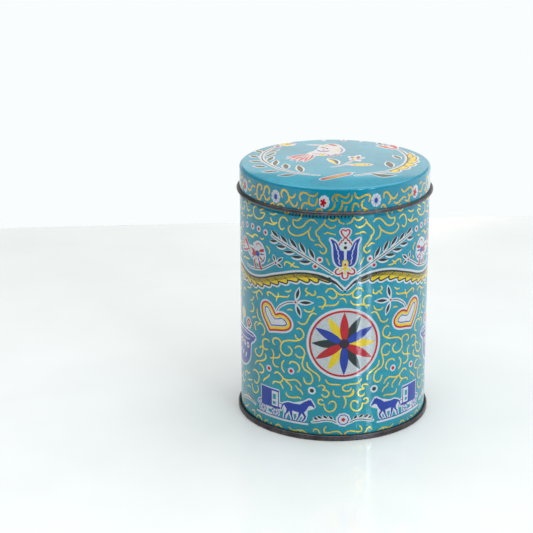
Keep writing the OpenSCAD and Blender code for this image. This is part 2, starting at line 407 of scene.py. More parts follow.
def horse_and_cart():
    """Horse and covered cart on a white ground line."""
    pieces = horse() + cart()
    ground = stroke([(-59, 9.3), (-40, 9.3), (-21.4, 9.3)], 1.2, thin=1)
    grass = stroke([(-58, 10.3), (-40, 10.3), (-22.5, 10.3)], 0.5, thin=1)
    gaps = [np.array([(-45, 21), (-45, 24.4), (-42.6, 24.4), (-42.6, 21)]),
            np.array([(-45, 17.8), (-45, 19.7), (-42.7, 19.7), (-42.7, 17.8)]),
            np.array([(-48.8, 11.9), (-48.6, 13.8), (-45.8, 13.9), (-45.8, 11.6)]),
            oval((-33.6, 12), 0.8, 1.1, count=16), oval((-25.3, 12.8), 0.6, 1, turn=-20, count=16),
            np.array([(-30.4, 14.6), (-28.2, 14.8), (-28.9, 12.6), (-30, 12.4)])]
    panel = np.array([(-46, 16.6), (-46, 26.3), (-41.6, 26.3), (-41.6, 16.6)])
    shapes = [("white", grow(outline, 0.75)) for _, outline in pieces]
    shapes += [("white", ground), ("white", panel),
               ("white", np.array([(-55.5, 9.4), (-55.5, 15.5), (-41, 15.5), (-41, 9.4)]))]
    return shapes + pieces + [("teal", outline) for outline in gaps] + [("blue", grass)]


def scalloped(centre, radius, depth, lobes, count=60, turn=0):
    """Outline of a flower with round petals."""
    angles = np.arange(count) * 2 * math.pi / count
    r = radius - depth + depth * np.abs(np.cos(lobes / 2 * angles)) ** 0.6
    return turned(np.column_stack([np.cos(angles) * r, np.sin(angles) * r]), turn) + np.array(centre)


def low_flower():
    """Flower at the foot of the axis, between two leafy sprays."""
    centre = (0, 13.2)
    spray = sprig([(-3.4, 11), (-7, 12.6), (-11, 12.8), (-15, 11.8), (-18.4, 11.1)],
                  [((-6.3, 13.6), (-8.3, 15.4), 0.9), ((-9.6, 14.1), (-12, 15.8), 0.9),
                   ((-12.9, 13.9), (-15.4, 15.2), 0.9), ((-15.2, 13.1), (-17.6, 14), 0.9)], border=0.7,
                  crescent=0.4)
    return spray + moved(spray, mirror=True) + [
        ("white", scalloped(centre, 4.5, 0.5, 9, 90)), ("blue", scalloped(centre, 3.5, 0.5, 9, 90)),
        ("white", scalloped(centre, 2.9, 0.5, 9, 90)), ("red", scalloped(centre, 1.3, 0.4, 5, 40))]


def side_spray():
    """Leafy spray behind the cart."""
    return sprig([(-61, 12.4), (-66, 13.2), (-72, 12.7), (-79, 11)],
                 [((-63, 13.9), (-66, 15.6), 0.9), ((-66.3, 14.6), (-69.6, 16.6), 0.9),
                  ((-70, 14.4), (-73.3, 16.2), 0.9), ((-73.6, 13.7), (-76.8, 15.2), 0.9)])


def bowl_half():
    """Half of the blue and white bowl of flowers at the side of the tin."""
    edge = -QUARTER_TURN
    side = curve([(-60.5, 55.6), (-62.4, 53), (-66, 50.2), (-66.6, 46), (-67.3, 41), (-70, 37),
                  (-74.5, 34.2), (-80, 33), (-84, 33)])
    outline = np.vstack([[(edge, 57), (-64, 57)], side, [(edge, 33)]])
    shapes = bordered([("blue", outline)], 1.1)
    shapes.append(("white", stroke([(-62.5, 55.4), (-76, 55.4), (edge, 55.4)], 0.6, thin=1)))
    for i in range(4):
        shapes += [("white", oval((-70.5 - 5.4 * i, 47.6), 1.9)),
                   ("red", oval((-70.5 - 5.4 * i, 47.6), 0.9, count=16))]
        shapes.append(("white", leaf((-72.4 - 5.4 * i, 42.6), (-74.8 - 5.4 * i, 38.2), 1.6)))
    shapes.append(pen("white", [(-67.6, 52.2), (-76, 51.2), (edge, 51)], 0.6, thin=1))
    for x, z, ink in ((-69, 62.5, "red"), (-77.5, 66.5, "yellow"), (-86.5, 69.5, "red")):
        stalk = stroke(curve([(x - 3, 57), (x - 1.5, (57 + z) / 2), (x, z)]), 1.6)
        shapes = [("white", stalk)] + shapes
        shapes += [("white", scalloped((x, z), 3.8, 0.6, 6)), (ink, scalloped((x, z), 2.9, 0.6, 6)),
                   ("white", oval((x, z), 1.2)), ("dark", oval((x, z), 0.6, count=14))]
    return shapes


# Each scroll is one pen line through a few points
SCROLLS = [
    [(-37.3, 138.9), (-36, 138.2), (-34.4, 138.4), (-33.2, 139.4)],
    [(-29.2, 138.4), (-28.7, 138)],
    [(-25.4, 139.4), (-26, 137), (-27.6, 135.3), (-29.2, 135.1), (-30.7, 135.4)],
    [(-30.7, 135.4), (-30.7, 133), (-29.2, 131.2), (-26.8, 131), (-24.5, 132.2), (-22.8, 134.3),
     (-20.5, 136.1), (-18.2, 136.1), (-16.5, 134.7)],
    [(-34.3, 134), (-36, 135.6), (-38.5, 135.3), (-40, 132.5), (-39.9, 129.8), (-38.3, 128.2),
     (-36.5, 129.4)],
    [(-32.7, 131.4), (-33.9, 129.3), (-32.5, 127), (-29, 125.9), (-25, 127), (-22.3, 128.8),
     (-20.7, 130.4), (-20, 132)],
    [(-21.3, 129.8), (-21, 127), (-19.9, 124.8), (-18, 123.8)],
    [(-11.6, 136.6), (-12.6, 134.4), (-15, 131.8), (-16.8, 129.6), (-16.5, 127.3), (-15.2, 126.3),
     (-15, 125), (-14, 123.2), (-12, 121), (-10.8, 119), (-11.6, 117), (-13.3, 116.6), (-14.6, 117.9)],
    [(-12.3, 134.8), (-10.6, 133), (-8.3, 132), (-6.7, 132.4), (-5.7, 133.5)],
    [(-12, 128.3), (-10.3, 129.2), (-8, 128.6), (-5.8, 128.1)],
    [(-17.4, 121.5), (-15.4, 121.8), (-13.3, 120.2)],
    [(-10.9, 113.8), (-10, 112), (-9.1, 109.8)],
    [(-10, 137.7), (-8, 136.4), (-6.3, 136.5), (-4.8, 138)],
    [(-4.6, 138), (-3.2, 135.4), (-0.9, 134.4)],
    [(-36.3, 106.8), (-36, 108.6), (-34.4, 109.2), (-32.4, 108.4), (-30, 107.2), (-27, 107)],
    [(-29.8, 109.4), (-31.3, 108), (-32.4, 106.7)],
    [(-41.7, 131.9), (-43.9, 130.3), (-46, 130), (-49, 130.4), (-51, 129.8), (-52, 127.9)],
    [(-46.4, 133.7), (-45.6, 132), (-44, 131), (-41.7, 131.8)],
    [(-46.8, 136.3), (-44.5, 136), (-41.8, 137.1)],
    [(-58.6, 137.8), (-60.8, 137.3), (-62, 135.5), (-61.7, 132.8), (-60, 131.2), (-57.5, 130.8),
     (-54, 131.9), (-52, 133.8), (-51.2, 135.4), (-53, 135.4), (-55, 134.8)],
    [(-55.4, 136.2), (-53.8, 137.2), (-52, 138)],
    [(-63.3, 131.8), (-65, 130.6), (-68, 130.2), (-69.9, 129.4), (-70.4, 127.5)],
    [(-65.5, 138.6), (-67.5, 137.6), (-69.2, 138.2)],
    [(-66.6, 134.1), (-68.5, 132.8), (-70.2, 133.6), (-70.8, 136), (-72.6, 137.4), (-74.6, 136.6)],
    [(-74, 134.6), (-75.4, 132.5), (-78, 131.2), (-80.4, 132.2), (-81, 134.6)],
    [(-74.8, 128.2), (-77, 127.4), (-79.6, 128.2), (-82, 127.4)],
    [(-84, 137.6), (-85.4, 135.4), (-87.6, 134.8)],
    [(-84.4, 131.6), (-86, 129.6), (-88.6, 129)],
    [(-72, 117.6), (-70, 118.5), (-67.4, 118.4), (-64.6, 118.2), (-62.4, 119.3), (-60.3, 120.4),
     (-57.6, 120)],
    [(-64, 117.4), (-62.6, 118.4), (-61.6, 119.6)],
    [(-55.4, 119.6), (-53.8, 119.1), (-52.1, 120)],
    [(-49.6, 115.8), (-48.2, 114.8), (-47.3, 113.4), (-47.8, 111.9)],
    [(-47.2, 108.4), (-48.4, 106.6)],
    [(-67.2, 103.5), (-70, 102.9), (-74, 102.8), (-76.4, 101.6)],
    [(-80, 117.5), (-82.4, 118.6), (-85, 117.6), (-86.2, 115.4), (-85, 113.4)],
    [(-81.6, 108), (-83.8, 109.6), (-86.4, 108.8), (-88, 106.6)],
    [(-80, 103), (-82.6, 103.8), (-85.4, 102.8)],
    [(-22.1, 95), (-22.9, 93.5), (-21.9, 92.3), (-20.6, 92), (-19.4, 91), (-18, 91), (-17, 92),
     (-17.3, 93.6)],
    [(-20.8, 92.2), (-22, 91), (-22.7, 90.1)],
    [(-10.9, 93.2), (-9.8, 94.9), (-8, 95.5), (-6.3, 94.8), (-4.9, 93.4), (-3.3, 92.2), (-1.6, 91.7),
     (-0.2, 92)],
    [(-5.2, 93.6), (-4.6, 91.5), (-5.3, 90), (-7.3, 89.5), (-9, 90.7)],
    [(-16, 89.7), (-14.8, 90.3), (-13, 90), (-11.5, 88.6), (-11.2, 86.5), (-12.3, 84.6), (-13.1, 82.8)],
    [(-14.9, 84.2), (-13, 84.3), (-11, 85.1), (-8, 85.2), (-5.5, 85.5), (-4, 86.7), (-3.5, 87.8)],
    [(-35.6, 91), (-33.6, 91.1), (-32, 92.4)],
    [(-48.5, 85.4), (-49.3, 86.9), (-48, 88), (-45.5, 87.5), (-42.5, 86.4), (-40, 87), (-37, 87.4),
     (-34.5, 87.8), (-33.3, 88.9)],
    [(-40.7, 89), (-40.9, 87.2), (-42, 85.4), (-42.1, 83.7)],
    [(-34.3, 79.7), (-33, 80.3), (-31.3, 80.1)],
    [(-23.7, 81.6), (-22.4, 80.6), (-20.3, 80.5), (-18.7, 81.4), (-17.7, 83.4)],
    [(-27.4, 73.7), (-26, 72.5), (-24.3, 72.4), (-22.5, 73.5), (-21.3, 75.7), (-20, 78.4), (-18.3, 79.8),
     (-16.3, 79.3)],
    [(-63.7, 84), (-61.6, 83.9), (-59, 85.2), (-56.5, 86.7), (-54.6, 86.1), (-53.5, 84.8)],
    [(-58.8, 85.1), (-59.2, 83), (-58, 80.9)],
    [(-70.5, 84.9), (-68, 85), (-65.5, 86.1)],
    [(-62.2, 81.2), (-63.6, 79), (-66.2, 77.6)],
    [(-64.2, 76.6), (-62.5, 75), (-62.6, 72.6), (-64.5, 71), (-66.4, 70.7)],
    [(-58.8, 74.6), (-58.5, 71.6), (-57.3, 69.3), (-55.4, 67.8)],
    [(-74, 88.6), (-76.4, 87.8), (-78.8, 88.6), (-80.6, 87)],
    [(-72.8, 81.6), (-75.2, 82.6), (-77.6, 81.2), (-77.8, 78.8), (-76, 77.4)],
    [(-82.4, 84.4), (-84.4, 82.6), (-84.2, 80), (-86.6, 78.2)],
    [(-84.2, 91), (-86.4, 90), (-88.6, 90.6)],
    [(-60.2, 68.9), (-62, 68.5), (-64.2, 67.2)],
    [(-60.2, 60.6), (-61.4, 63), (-60.6, 65.3), (-58.6, 66.3)],
    [(-58.2, 64.4), (-56.4, 66.2), (-53.9, 66), (-52, 64.2), (-51.6, 62), (-52.4, 60.1), (-54, 59.4)],
    [(-28.2, 68.8), (-26.9, 69.5), (-25, 68.6), (-24, 66.5), (-24.4, 64.2), (-26.5, 62.3), (-29, 61.4),
     (-33, 60.9), (-36.5, 59.8), (-38.6, 57.5), (-39.1, 54.5), (-37.8, 52), (-35, 51), (-32.5, 52),
     (-31.4, 54.2), (-32, 56), (-33.7, 57.1)],
    [(-29.2, 65), (-28.6, 63.4), (-26.6, 62.3)],
    [(-38.5, 58), (-39.7, 59.8), (-41.7, 60.5), (-43.9, 59.9), (-45, 58.2), (-44.6, 56.7), (-43.2, 56)],
    [(-29.2, 56.8), (-28, 58), (-26.3, 58.3), (-24.3, 57), (-23.3, 54.5), (-24, 51.5), (-24.7, 48.5),
     (-24.6, 46.5), (-23.5, 44.3), (-21.6, 43.2), (-19.9, 42.1), (-18.7, 40), (-18.5, 37.5),
     (-19.6, 35.7), (-21.5, 35.2), (-23.2, 36.5), (-23.9, 38.9)],
    [(-23.9, 52.1), (-25.5, 51.4), (-27.5, 51.4), (-29.1, 53)],
    [(-33, 46.3), (-31.8, 47.7), (-30, 47.9), (-28, 47.2), (-26.7, 45.3), (-26.6, 43.3), (-27.8, 41.7)],
    [(-36.6, 47.6), (-38, 45.6), (-38.3, 43.5), (-37.7, 41.5), (-36.4, 40.1)],
    [(-21.8, 48.8), (-21.5, 46.5), (-20, 44.7), (-17.7, 43.2), (-15.6, 41.8), (-14.3, 39.9),
     (-14.3, 37.7)],
    [(-10.6, 38.7), (-9.5, 36.9), (-7.5, 35.9), (-4.5, 35.8), (-2.1, 35.6)],
    [(-15, 34.1), (-13.7, 35), (-12, 34.9), (-11.1, 33.6), (-12.2, 32.2), (-10.3, 32), (-8.7, 30.6),
     (-9, 28.7), (-10.6, 27.6), (-12.1, 28.2), (-12.7, 29.3)],
    [(-12.1, 25.3), (-13.3, 26.1), (-14.8, 25.4), (-14.8, 23.7), (-13.3, 22.7), (-11.6, 23)],
    [(-11.4, 23.2), (-11.2, 21), (-9.9, 19), (-7.8, 18.4), (-5.6, 19.5), (-4.5, 21.5), (-4.6, 23.7),
     (-6, 25), (-7.7, 24.8), (-8.7, 23.4)],
    [(-35.2, 27.6), (-34.8, 25.9), (-33.2, 25), (-31, 25), (-28.9, 25.4), (-27, 25.8), (-25.6, 25.2)],
    [(-47.9, 56.6), (-48.8, 57.6), (-50.8, 57.7), (-52.9, 56.5), (-53.5, 54.3), (-53.2, 52.5),
     (-53.4, 49.5), (-54.3, 46.8), (-56.3, 45.1), (-58.5, 44.8), (-60.6, 46), (-61, 47.8), (-59.3, 49.2)],
    [(-53.4, 53), (-55, 51.5), (-56.4, 50.6)],
    [(-53.3, 53), (-52.3, 51.5), (-50.7, 51), (-49.1, 51.7)],
    [(-45.8, 52.6), (-44.5, 51), (-44.3, 49.3), (-44.7, 47.3)],
    [(-46.7, 46.8), (-45, 47.3), (-43, 47.8), (-41, 48.3), (-39.9, 49.5), (-39.7, 50.6)],
    [(-44.4, 47.4), (-44.9, 45.3), (-44.3, 43.4), (-42.7, 42.4), (-40.7, 42.5)],
    [(-51, 48.1), (-50.6, 45.8), (-52, 44), (-54.5, 42.7), (-57.5, 41.7), (-59.7, 40.6), (-61, 38.6)],
    [(-56.6, 40.2), (-54.3, 39.7), (-52.8, 38.2), (-53, 36), (-54.7, 34.8), (-56.4, 34.8)],
    [(-43.6, 37.6), (-42.3, 38.8), (-40.5, 38.8), (-38.7, 37.5), (-37.3, 36.2), (-36, 35.6), (-33, 35.7),
     (-30, 36.6), (-28.3, 36.5), (-26.7, 35.3), (-25.5, 33.4)],
    [(-36.4, 35.8), (-35, 34.5), (-32.8, 33), (-31.6, 31.3), (-31.8, 29.4)],
    [(-37.6, 36.2), (-38, 34.3), (-40, 32.8), (-42.5, 32.7), (-44.5, 31.9), (-44.9, 30.6)],
    [(-40, 32.8), (-38.3, 31.3), (-37.3, 29.4)],
    [(-47.7, 35.7), (-48.8, 34), (-51, 32.4), (-52.4, 31), (-52.9, 30.1)],
    [(-63.6, 33.3), (-61.5, 34.6), (-59, 34.2), (-57.3, 32.3), (-57.3, 29.5), (-58.5, 27.3),
     (-60.5, 26.3), (-62.4, 27.6)],
    [(-28.8, 33.1), (-27.6, 31.4), (-25.7, 30.3), (-24.7, 29), (-24.5, 28.1)],
    [(-64.8, 24.2), (-64.2, 21.5), (-62.5, 19.9), (-60.5, 19.9), (-58.6, 21.3), (-57.9, 23.4),
     (-58.8, 25)],
    [(-70.4, 25), (-67.6, 25.8), (-65, 26.8)],
    [(-71.4, 20.4), (-69.4, 21.4), (-67.4, 21)],
    [(-68, 30.4), (-70.4, 29.2), (-73, 29.8), (-75, 28.2), (-74.6, 26)],
    [(-76.4, 22.6), (-78.4, 21), (-80.8, 21.6), (-81.6, 24), (-80.2, 26)],
    [(-84.6, 29.4), (-86.2, 27.2), (-88.6, 27)],
    [(-84.8, 22), (-86.4, 20.2), (-86, 18), (-88, 16.4)],
    [(-17.7, 5), (-17.3, 6.4), (-16, 6.8), (-14.8, 6.1), (-14, 4.7), (-13.3, 3.3)],
    [(-10.1, 8.6), (-11.3, 7.1), (-11.1, 5.3), (-9.5, 4.8), (-7.5, 5.1), (-5.2, 5.7), (-3, 5.6),
     (-1.4, 4.6), (-0.6, 3.2)],
    [(-33.1, 5.4), (-31.5, 4.1), (-29.5, 3.9), (-27.5, 4.5), (-25, 4.9), (-23.2, 4.2), (-21.4, 3.2)],
    [(-25.2, 4.7), (-26, 3.4)],
    [(-43, 3.4), (-42, 4.9), (-40.7, 5.3), (-39.2, 4.7), (-38, 3.4)],
    [(-47, 3.4), (-46.3, 4.9)],
    [(-52.2, 3.4), (-51.2, 5), (-49.3, 5.4)],
    [(-60, 4), (-58.4, 5.7), (-56.8, 6.1), (-55.2, 5), (-54.6, 3.6)],
    [(-65.2, 6.5), (-63.3, 7.6), (-61.9, 6.4), (-62.3, 4.6)],
    [(-76.4, 5.2), (-73, 6.4), (-70, 8.9)],
    [(-81.6, 4.4), (-83.4, 6.4), (-85.8, 6.6), (-87.4, 4.8)],
]

# Scrolls that cross the axis, or have no mirror image
AXIS_SCROLLS = [
    [(-2.6, 89.2), (-1.2, 89.5), (0.2, 88.6), (0.9, 86.8)],
    [(3.2, 35.6), (1, 35.2), (-0.5, 34), (-0.2, 32.3), (1.8, 31.4), (3.6, 31.9), (4.6, 33.2)],
    [(-0.2, 28.3), (2.6, 28.2), (4.8, 29.5), (5.9, 32.2)],
    [(0.1, 28.3), (1.3, 25.6), (1.2, 23), (0.2, 20.8)],
]
SCROLL_W = 0.82


def neck_dark_marks():
    """Short dark marks in a row on the step of the neck, just under the lid's hem, thinner and shorter
    towards the ends of the row.
    """
    marks, pitch, first, last, top = [], 2.05, -37.2, 4.0, 139.2
    for i in range(int((last - first) / pitch) + 1):
        x = first + i * pitch
        fade = min(1.0, 0.35 + 0.2 * min(i, (last - x) / pitch))
        width, drop = 0.3 + 0.16 * fade, 0.8 + 0.5 * fade + 0.25 * math.sin(5 * i)
        line = [(x, top + 0.2), (x, top - drop / 2), (x, top - drop)]
        marks.append(("dark", stroke(line, 2 * width)))
    return marks


def body_art():
    """Everything printed on the body, over the teal ground."""
    half = [pen("gold", line, SCROLL_W) for line in SCROLLS]
    half += long_sprig() + garland() + bird() + heart() + horse_and_cart() + side_spray() + bowl_half()
    for x, z in ((-50.6, 124), (-56.8, 124.7), (-63.1, 124.7), (-70.6, 123.8), (-78, 121.8)):
        half += berry(x, z)
    for x, z in ((-31.9, 41.8), (-48.1, 39.8)):
        half += berry(x, z, radius=1.2, halo=2.1)
    half += berry(-18.8, 31.2, ink="dark", radius=1.3, halo=2.4)
    half.append(pen("gold", [(-5.9, 32.2), (-6, 30.2), (-4.9, 28.6), (-3.3, 28), (-2.1, 28.2)], SCROLL_W))
    shapes = [pen("gold", line, SCROLL_W) for line in AXIS_SCROLLS]
    shapes += half + moved(half, mirror=True)
    return shapes + rosette() + tulip() + low_flower() + neck_dark_marks()


# ---------------------------------------------------------------- motifs of the lid's print

# Flowers run round the lid's skirt. Between two of them lie the scrolls of one sector, with x from
# the flower on the left.
SKIRT_FLOWERS = 12
SKIRT_SECTORS = [
    [[(4, 146.6), (5.9, 146), (7.7, 146.9), (8.6, 148.6), (10.2, 149.9), (12.3, 149.5)],
     [(4.8, 150.9), (6, 151.7), (7.3, 151.3)],
     [(12, 145.1), (13.4, 145.9), (14.4, 147.2)],
     [(18.3, 149.2), (18.9, 150.8), (17.9, 152.1), (16.2, 152), (14.8, 150.2), (14.3, 147.5),
      (14.4, 144.6), (15.5, 143.2), (17.2, 143.2), (18, 144.7), (18.3, 146.2)],
     [(24.8, 148.3), (25.2, 150.3), (24.3, 152), (22.7, 152.2), (21.3, 150.8), (20.7, 148.6), (20, 146.9),
      (19, 146)],
     [(21.1, 146.7), (21.8, 145), (23.2, 144.2), (24.6, 145), (25.4, 146.4)],
     [(5.5, 142.5), (6.6, 143.3), (7.6, 143.8)],
     [(11.8, 141.2), (12.8, 142.2), (14, 141.2)],
     [(21.4, 141), (21.7, 142.8)],
     [(25.5, 141), (26.8, 142.9), (28.2, 143.2), (29.5, 141)]],
    [[(0.8, 141.4), (2, 143.2), (3.9, 143.8), (5.4, 142.8), (6.7, 141)],
     [(4.7, 147.7), (4, 149.6), (4.6, 151.7), (6, 152.4), (7.5, 151.8), (8.6, 149.8), (9.3, 147.8),
      (10, 145.8), (11.3, 144.1), (12.7, 143.6), (13.9, 144.6), (14.4, 146.4)],
     [(9.1, 148), (8.6, 146.2), (7, 144.9)],
     [(9.5, 148.6), (11, 148.5), (12.3, 149.4), (12.9, 151)],
     [(16.3, 147.5), (15.6, 149.5), (16.2, 151.3), (17.7, 152.3), (19.6, 152), (21.6, 151), (23.6, 150.7),
      (25.2, 151.2), (26.1, 152.7)],
     [(16.7, 141), (17, 144), (18.1, 145.9), (19.8, 146.3), (21.6, 145.8), (23.1, 145.1), (24.5, 145.5),
      (25.6, 147.2), (25.8, 149.6)],
     [(21.7, 146), (21, 147.6), (21.3, 149.6)],
     [(14.9, 143), (15.4, 141)],
     [(20, 142.9), (20.4, 141)],
     [(23.8, 141), (25.8, 142.8), (27.6, 143.4), (28.7, 142.5), (29.3, 141)]],
    [[(1.2, 141), (2.9, 142.6), (4.5, 143.4), (5.7, 145), (6, 147.7)],
     [(4.9, 148.3), (4.5, 149.8), (5.6, 151.4), (7.3, 152), (9, 151.5), (10.5, 150.6), (12.1, 150.3),
      (13.3, 151), (13.9, 152.6)],
     [(6.9, 151.5), (6.7, 149.8), (7.4, 148.3)],
     [(7, 141.2), (8.9, 143.1), (9.9, 145), (10.1, 147.2), (10, 148.4)],
     [(10.1, 148), (11.4, 147.2), (13.1, 147.2), (14.7, 148.2), (15.6, 150), (15.7, 151.5)],
     [(11.7, 141), (12, 143.4), (12.7, 145)],
     [(15.7, 141.2), (16.1, 144.4), (16.9, 146.3), (18.1, 146.6), (19.1, 145.6), (19.5, 144.5)],
     [(17.3, 152.8), (17.6, 151), (18.7, 149.8), (20.5, 149.9), (22.4, 150.8), (24.2, 151.4), (25.7, 151),
      (26.2, 149.4), (25.5, 147.4)],
     [(22.6, 148.4), (21.4, 147.2), (21.2, 145.2), (22.1, 143.7), (23.9, 142.9), (25.9, 141.1)],
     [(22.3, 141.4), (23.5, 142.8)],
     [(18.4, 141.2), (19.6, 142.2), (20.8, 141.2)],
     [(28.8, 141.2), (30, 142), (31.2, 141.2)]],
    [[(3.4, 143.1), (4.3, 144.3), (5.3, 144), (6.1, 142.7), (7, 141)],
     [(4.9, 148.3), (4.9, 150.4), (6, 151.5), (7.5, 151.2), (8.7, 149.6), (9.9, 148), (11.3, 147),
      (12.7, 147.2), (13.7, 148.2), (14.4, 149.6)],
     [(9.3, 149.2), (9.5, 147.4), (9.2, 145.6), (8, 144.5)],
     [(12.2, 144.7), (13.7, 143.7), (15.3, 144.1), (16.9, 145.2), (18.5, 146.2), (19.7, 146.5),
      (21, 145.7)],
     [(17.4, 151.7), (18.5, 150), (20.3, 149.5), (22.3, 150.5), (24.1, 151.2), (25.9, 150.7), (26.9, 149),
      (26.5, 147.2), (25.1, 146.2), (23.7, 146.4), (23.2, 147.7)],
     [(23.9, 146.5), (24, 145), (23.3, 143.9), (21.9, 143.6), (20.6, 144.3)],
     [(15, 141.2), (16.3, 142.5), (17.8, 141.2)],
     [(23.4, 141), (24.1, 143)]],
]
FLOWER_Z = 147.6


def skirt_flower(ink):
    """Small white flower with an ink centre, as tall as the skirt's scrolls."""
    petals = scalloped((0, 0), 3.15, 0.42, 9, 72) * np.array([1.0, 1.3])
    if ink == "red":
        centre = scalloped((0, 0), 2.0, 1.0, 5, 30, turn=70) * (0.9, 1.3) + (-0.6, -0.5)
        return [("white", petals), ("red", centre)]
    veins = []
    for angle in np.radians(np.arange(9) * 40 + 20):
        out = np.array([math.cos(angle), math.sin(angle)])
        veins.append(("pale_blue", leaf(out * (1.5, 1.9), out * (2.7, 3.4), 0.55, count=6)))
    return [("white", petals)] + veins + [("pale_blue", oval((0, -0.1), 1.55, 2.1, count=24)),
                                          ("blue", oval((0, -0.2), 1, 1.5, count=20))]


# The skirt's print is laid out about SKIRT_MIDDLE, midway between two flowers. It sits SKIRT_DROP lower
# than it is drawn, and SKIRT_STRETCH moves it aside, away from the front.
SKIRT_MIDDLE = 2.7
SKIRT_DROP = 0.25
SKIRT_STRETCH = 0.55


def skirt_art():
    """Flowers and scrolls round the lid's skirt."""
    pitch = FULL_TURN / SKIRT_FLOWERS
    first = SKIRT_MIDDLE - 2.5 * pitch
    edge = FULL_TURN / 2
    shapes = []
    for i in range(SKIRT_FLOWERS):
        x = first + i * pitch
        x -= FULL_TURN if x > edge else 0
        sector = [pen("orange", line, 1.0) for line in SKIRT_SECTORS[i % len(SKIRT_SECTORS)]]
        sector += moved(skirt_flower(("red", "blue")[i % 2]), at=(0, FLOWER_Z))
        for lap in (-1, 0, 1):
            shapes += moved(sector, at=(x + lap * FULL_TURN, -SKIRT_DROP))
    for _, outline in shapes:
        outline[:, 0] += SKIRT_STRETCH * np.sin(outline[:, 0] / WALL_R)
    return [(ink, outline) for ink, outline in shapes
            if outline[:, 0].max() > -edge and outline[:, 0].min() < edge]


def lid_leaf(base, tip, width, bow=0.0):
    """Dark leaf in a broad white margin."""
    base, tip = np.array(base, float), np.array(tip, float)
    beyond = (tip - base) / np.hypot(*(tip - base)) * 1.4
    core = leaf(base - beyond * 0.15, tip + beyond * 0.3, width + 0.7, bow)
    return [("white", leaf(base - beyond * 0.6, tip + beyond, width + 3, bow, 16))], [("dark", core)]


def leafy_branch():
    """Branch round the left of the lid, with leaves on both sides."""
    stem = curve([(-33.6, 37.5), (-38, 29.5), (-40.8, 23.5), (-42.3, 17), (-42.8, 11), (-42.3, 5),
                  (-41, 0), (-38.8, -6), (-36.4, -11.5), (-33.2, -16.7), (-29, -21.3), (-24.5, -25.6),
                  (-19, -29), (-12.8, -31.8)])
    leaves = [((-42, 24.8), (-45, 31.4), 2.1), ((-44.8, 13.3), (-49.4, 18.6), 2.3),
              ((-43.8, 2.2), (-50, 6), 2.6), ((-41.6, -10), (-48.8, -6.2), 2.7),
              ((-35.2, -19.7), (-44.6, -20), 2.7), ((-26.2, -28.5), (-35.8, -29.2), 2.6),
              ((-40.2, 15), (-33.8, 23.8), 1.8), ((-38.2, 25.2), (-31, 31.4), 1.8),
              ((-40, 3.4), (-35.9, 13.5), 2.1), ((-36.9, -7.6), (-34.5, 4.6), 2.1),
              ((-30.3, -16.2), (-30, -4.8), 2.6), ((-22, -25), (-22.7, -8.8), 2.5)]
    under, over = [("white", stroke(stem, 3.0))], []
    for base, tip, width in leaves:
        white, dark = lid_leaf(base, tip, width)
        under += white
        over += dark
    bloom = [("white", scalloped((-24.5, 45), 5.8, 0.8, 7)), ("white", oval((-31.2, 39.2), 2.8)),
             ("yellow", scalloped((-25.3, 44.4), 3.9, 0.8, 6)),
             ("blue", leaf((-23.4, 45), (-17.4, 49.4), 3)),
             ("white", leaf((-22.2, 45.8), (-18.6, 48.6), 1)), ("red", oval((-31, 39.3), 1.7)),
             ("dark", oval((-24.6, 44.8), 1.2, count=20))]
    return under + over + [("dark", stroke(stem, 0.75))] + bloom


def feathered_branch():
    """Branch round the right of the lid: feathers outside, leaves inside, a tulip at its end."""
    stem = curve([(8.3, -33.9), (13, -32), (18, -30.3), (24, -28), (29.4, -24.9), (34.2, -20.2),
                  (38.5, -14.4), (42, -7), (44, 0), (45, 7), (44.8, 14), (43.8, 20), (42, 26)])
    feathers = [leaf((46.0, 1), (47.9, 16), 2.8), leaf((45.2, -3.5), (49.8, 7.8), 3.6),
                curve([(44.4, -2), (43.4, -7.6), (45.6, -6.8), (48.2, -5.2), (49, -2.8), (47.4, -1.2)],
                      closed=True),
                curve([(42, -8), (40.6, -14), (43, -14.2), (45.4, -12.6), (46, -10), (44.4, -8.4)],
                      closed=True),
                curve([(38.2, -15.4), (34.8, -20.8), (38, -21), (40.6, -19.6), (41.4, -17.2),
                       (40.2, -15.6)], closed=True),
                curve([(34, -21.4), (30, -26), (31.6, -28), (34, -26.4), (35.2, -23.6)], closed=True)]
    under, over = [("white", stroke(stem, 3.4))], []
    under += [("white", grow(outline, 1.9)) for outline in feathers]
    for outline in feathers:
        over += [("dark", grow(outline, 0.6)), ("yellow", outline)]
    for base, tip, width, bow in (((40.3, 1.4), (37.1, 10.6), 2.2, 0),
                                  ((31.8, -18.4), (31.2, -4.4), 3.4, 0),
                                  ((18.2, -30.6), (31.4, -34), 4.6, -2.4)):
        white, dark = lid_leaf(base, tip, width, bow)
        under += white
        over += dark
    over.append(("dark", stroke(stem, 0.9)))
    petals = [leaf((41.6, 27), (39.4, 40.2), 3.4), leaf((41, 26.8), (35, 37.4), 4.4),
              leaf((40.4, 26.4), (30.2, 36.4), 3.4)]
    tulip_head = [("white", grow(outline, 1.2)) for outline in petals]
    tulip_head += [("red", petals[0]), ("red", petals[2]), ("red", petals[1]),
                   ("white", leaf((40, 28), (35.8, 36), 2.6))]
    back_leaf = lid_leaf((33.6, 38.6), (32.2, 44.4), 1.6)
    loose = [("white", leaf((20.8, 45.6), (23.8, 51), 2.2)), ("white", oval((11.4, 51.8), 2.2)),
             ("red", oval((11.4, 51.8), 1.1)), ("white", oval((-1, 52.6), 1.3, 2))]
    return under + over + tulip_head + back_leaf[0] + back_leaf[1] + loose


def lid_petal():
    """Long orange petal between the two branches."""
    path = curve([(-11.2, -39.6), (-3, -34.7), (5, -29.6)])
    tips = leaf((-14.2, -39.4), (9.8, -26.8), 3.4)
    return [("white", tips), ("white", stroke(path, 6.2, thin=0.8)), ("red", stroke(path, 3.9, thin=0.8)),
            pen("orange", [(-9.4, -38.5), (-3, -34.7), (3.4, -30.6)], 2.5, thin=0.6)]


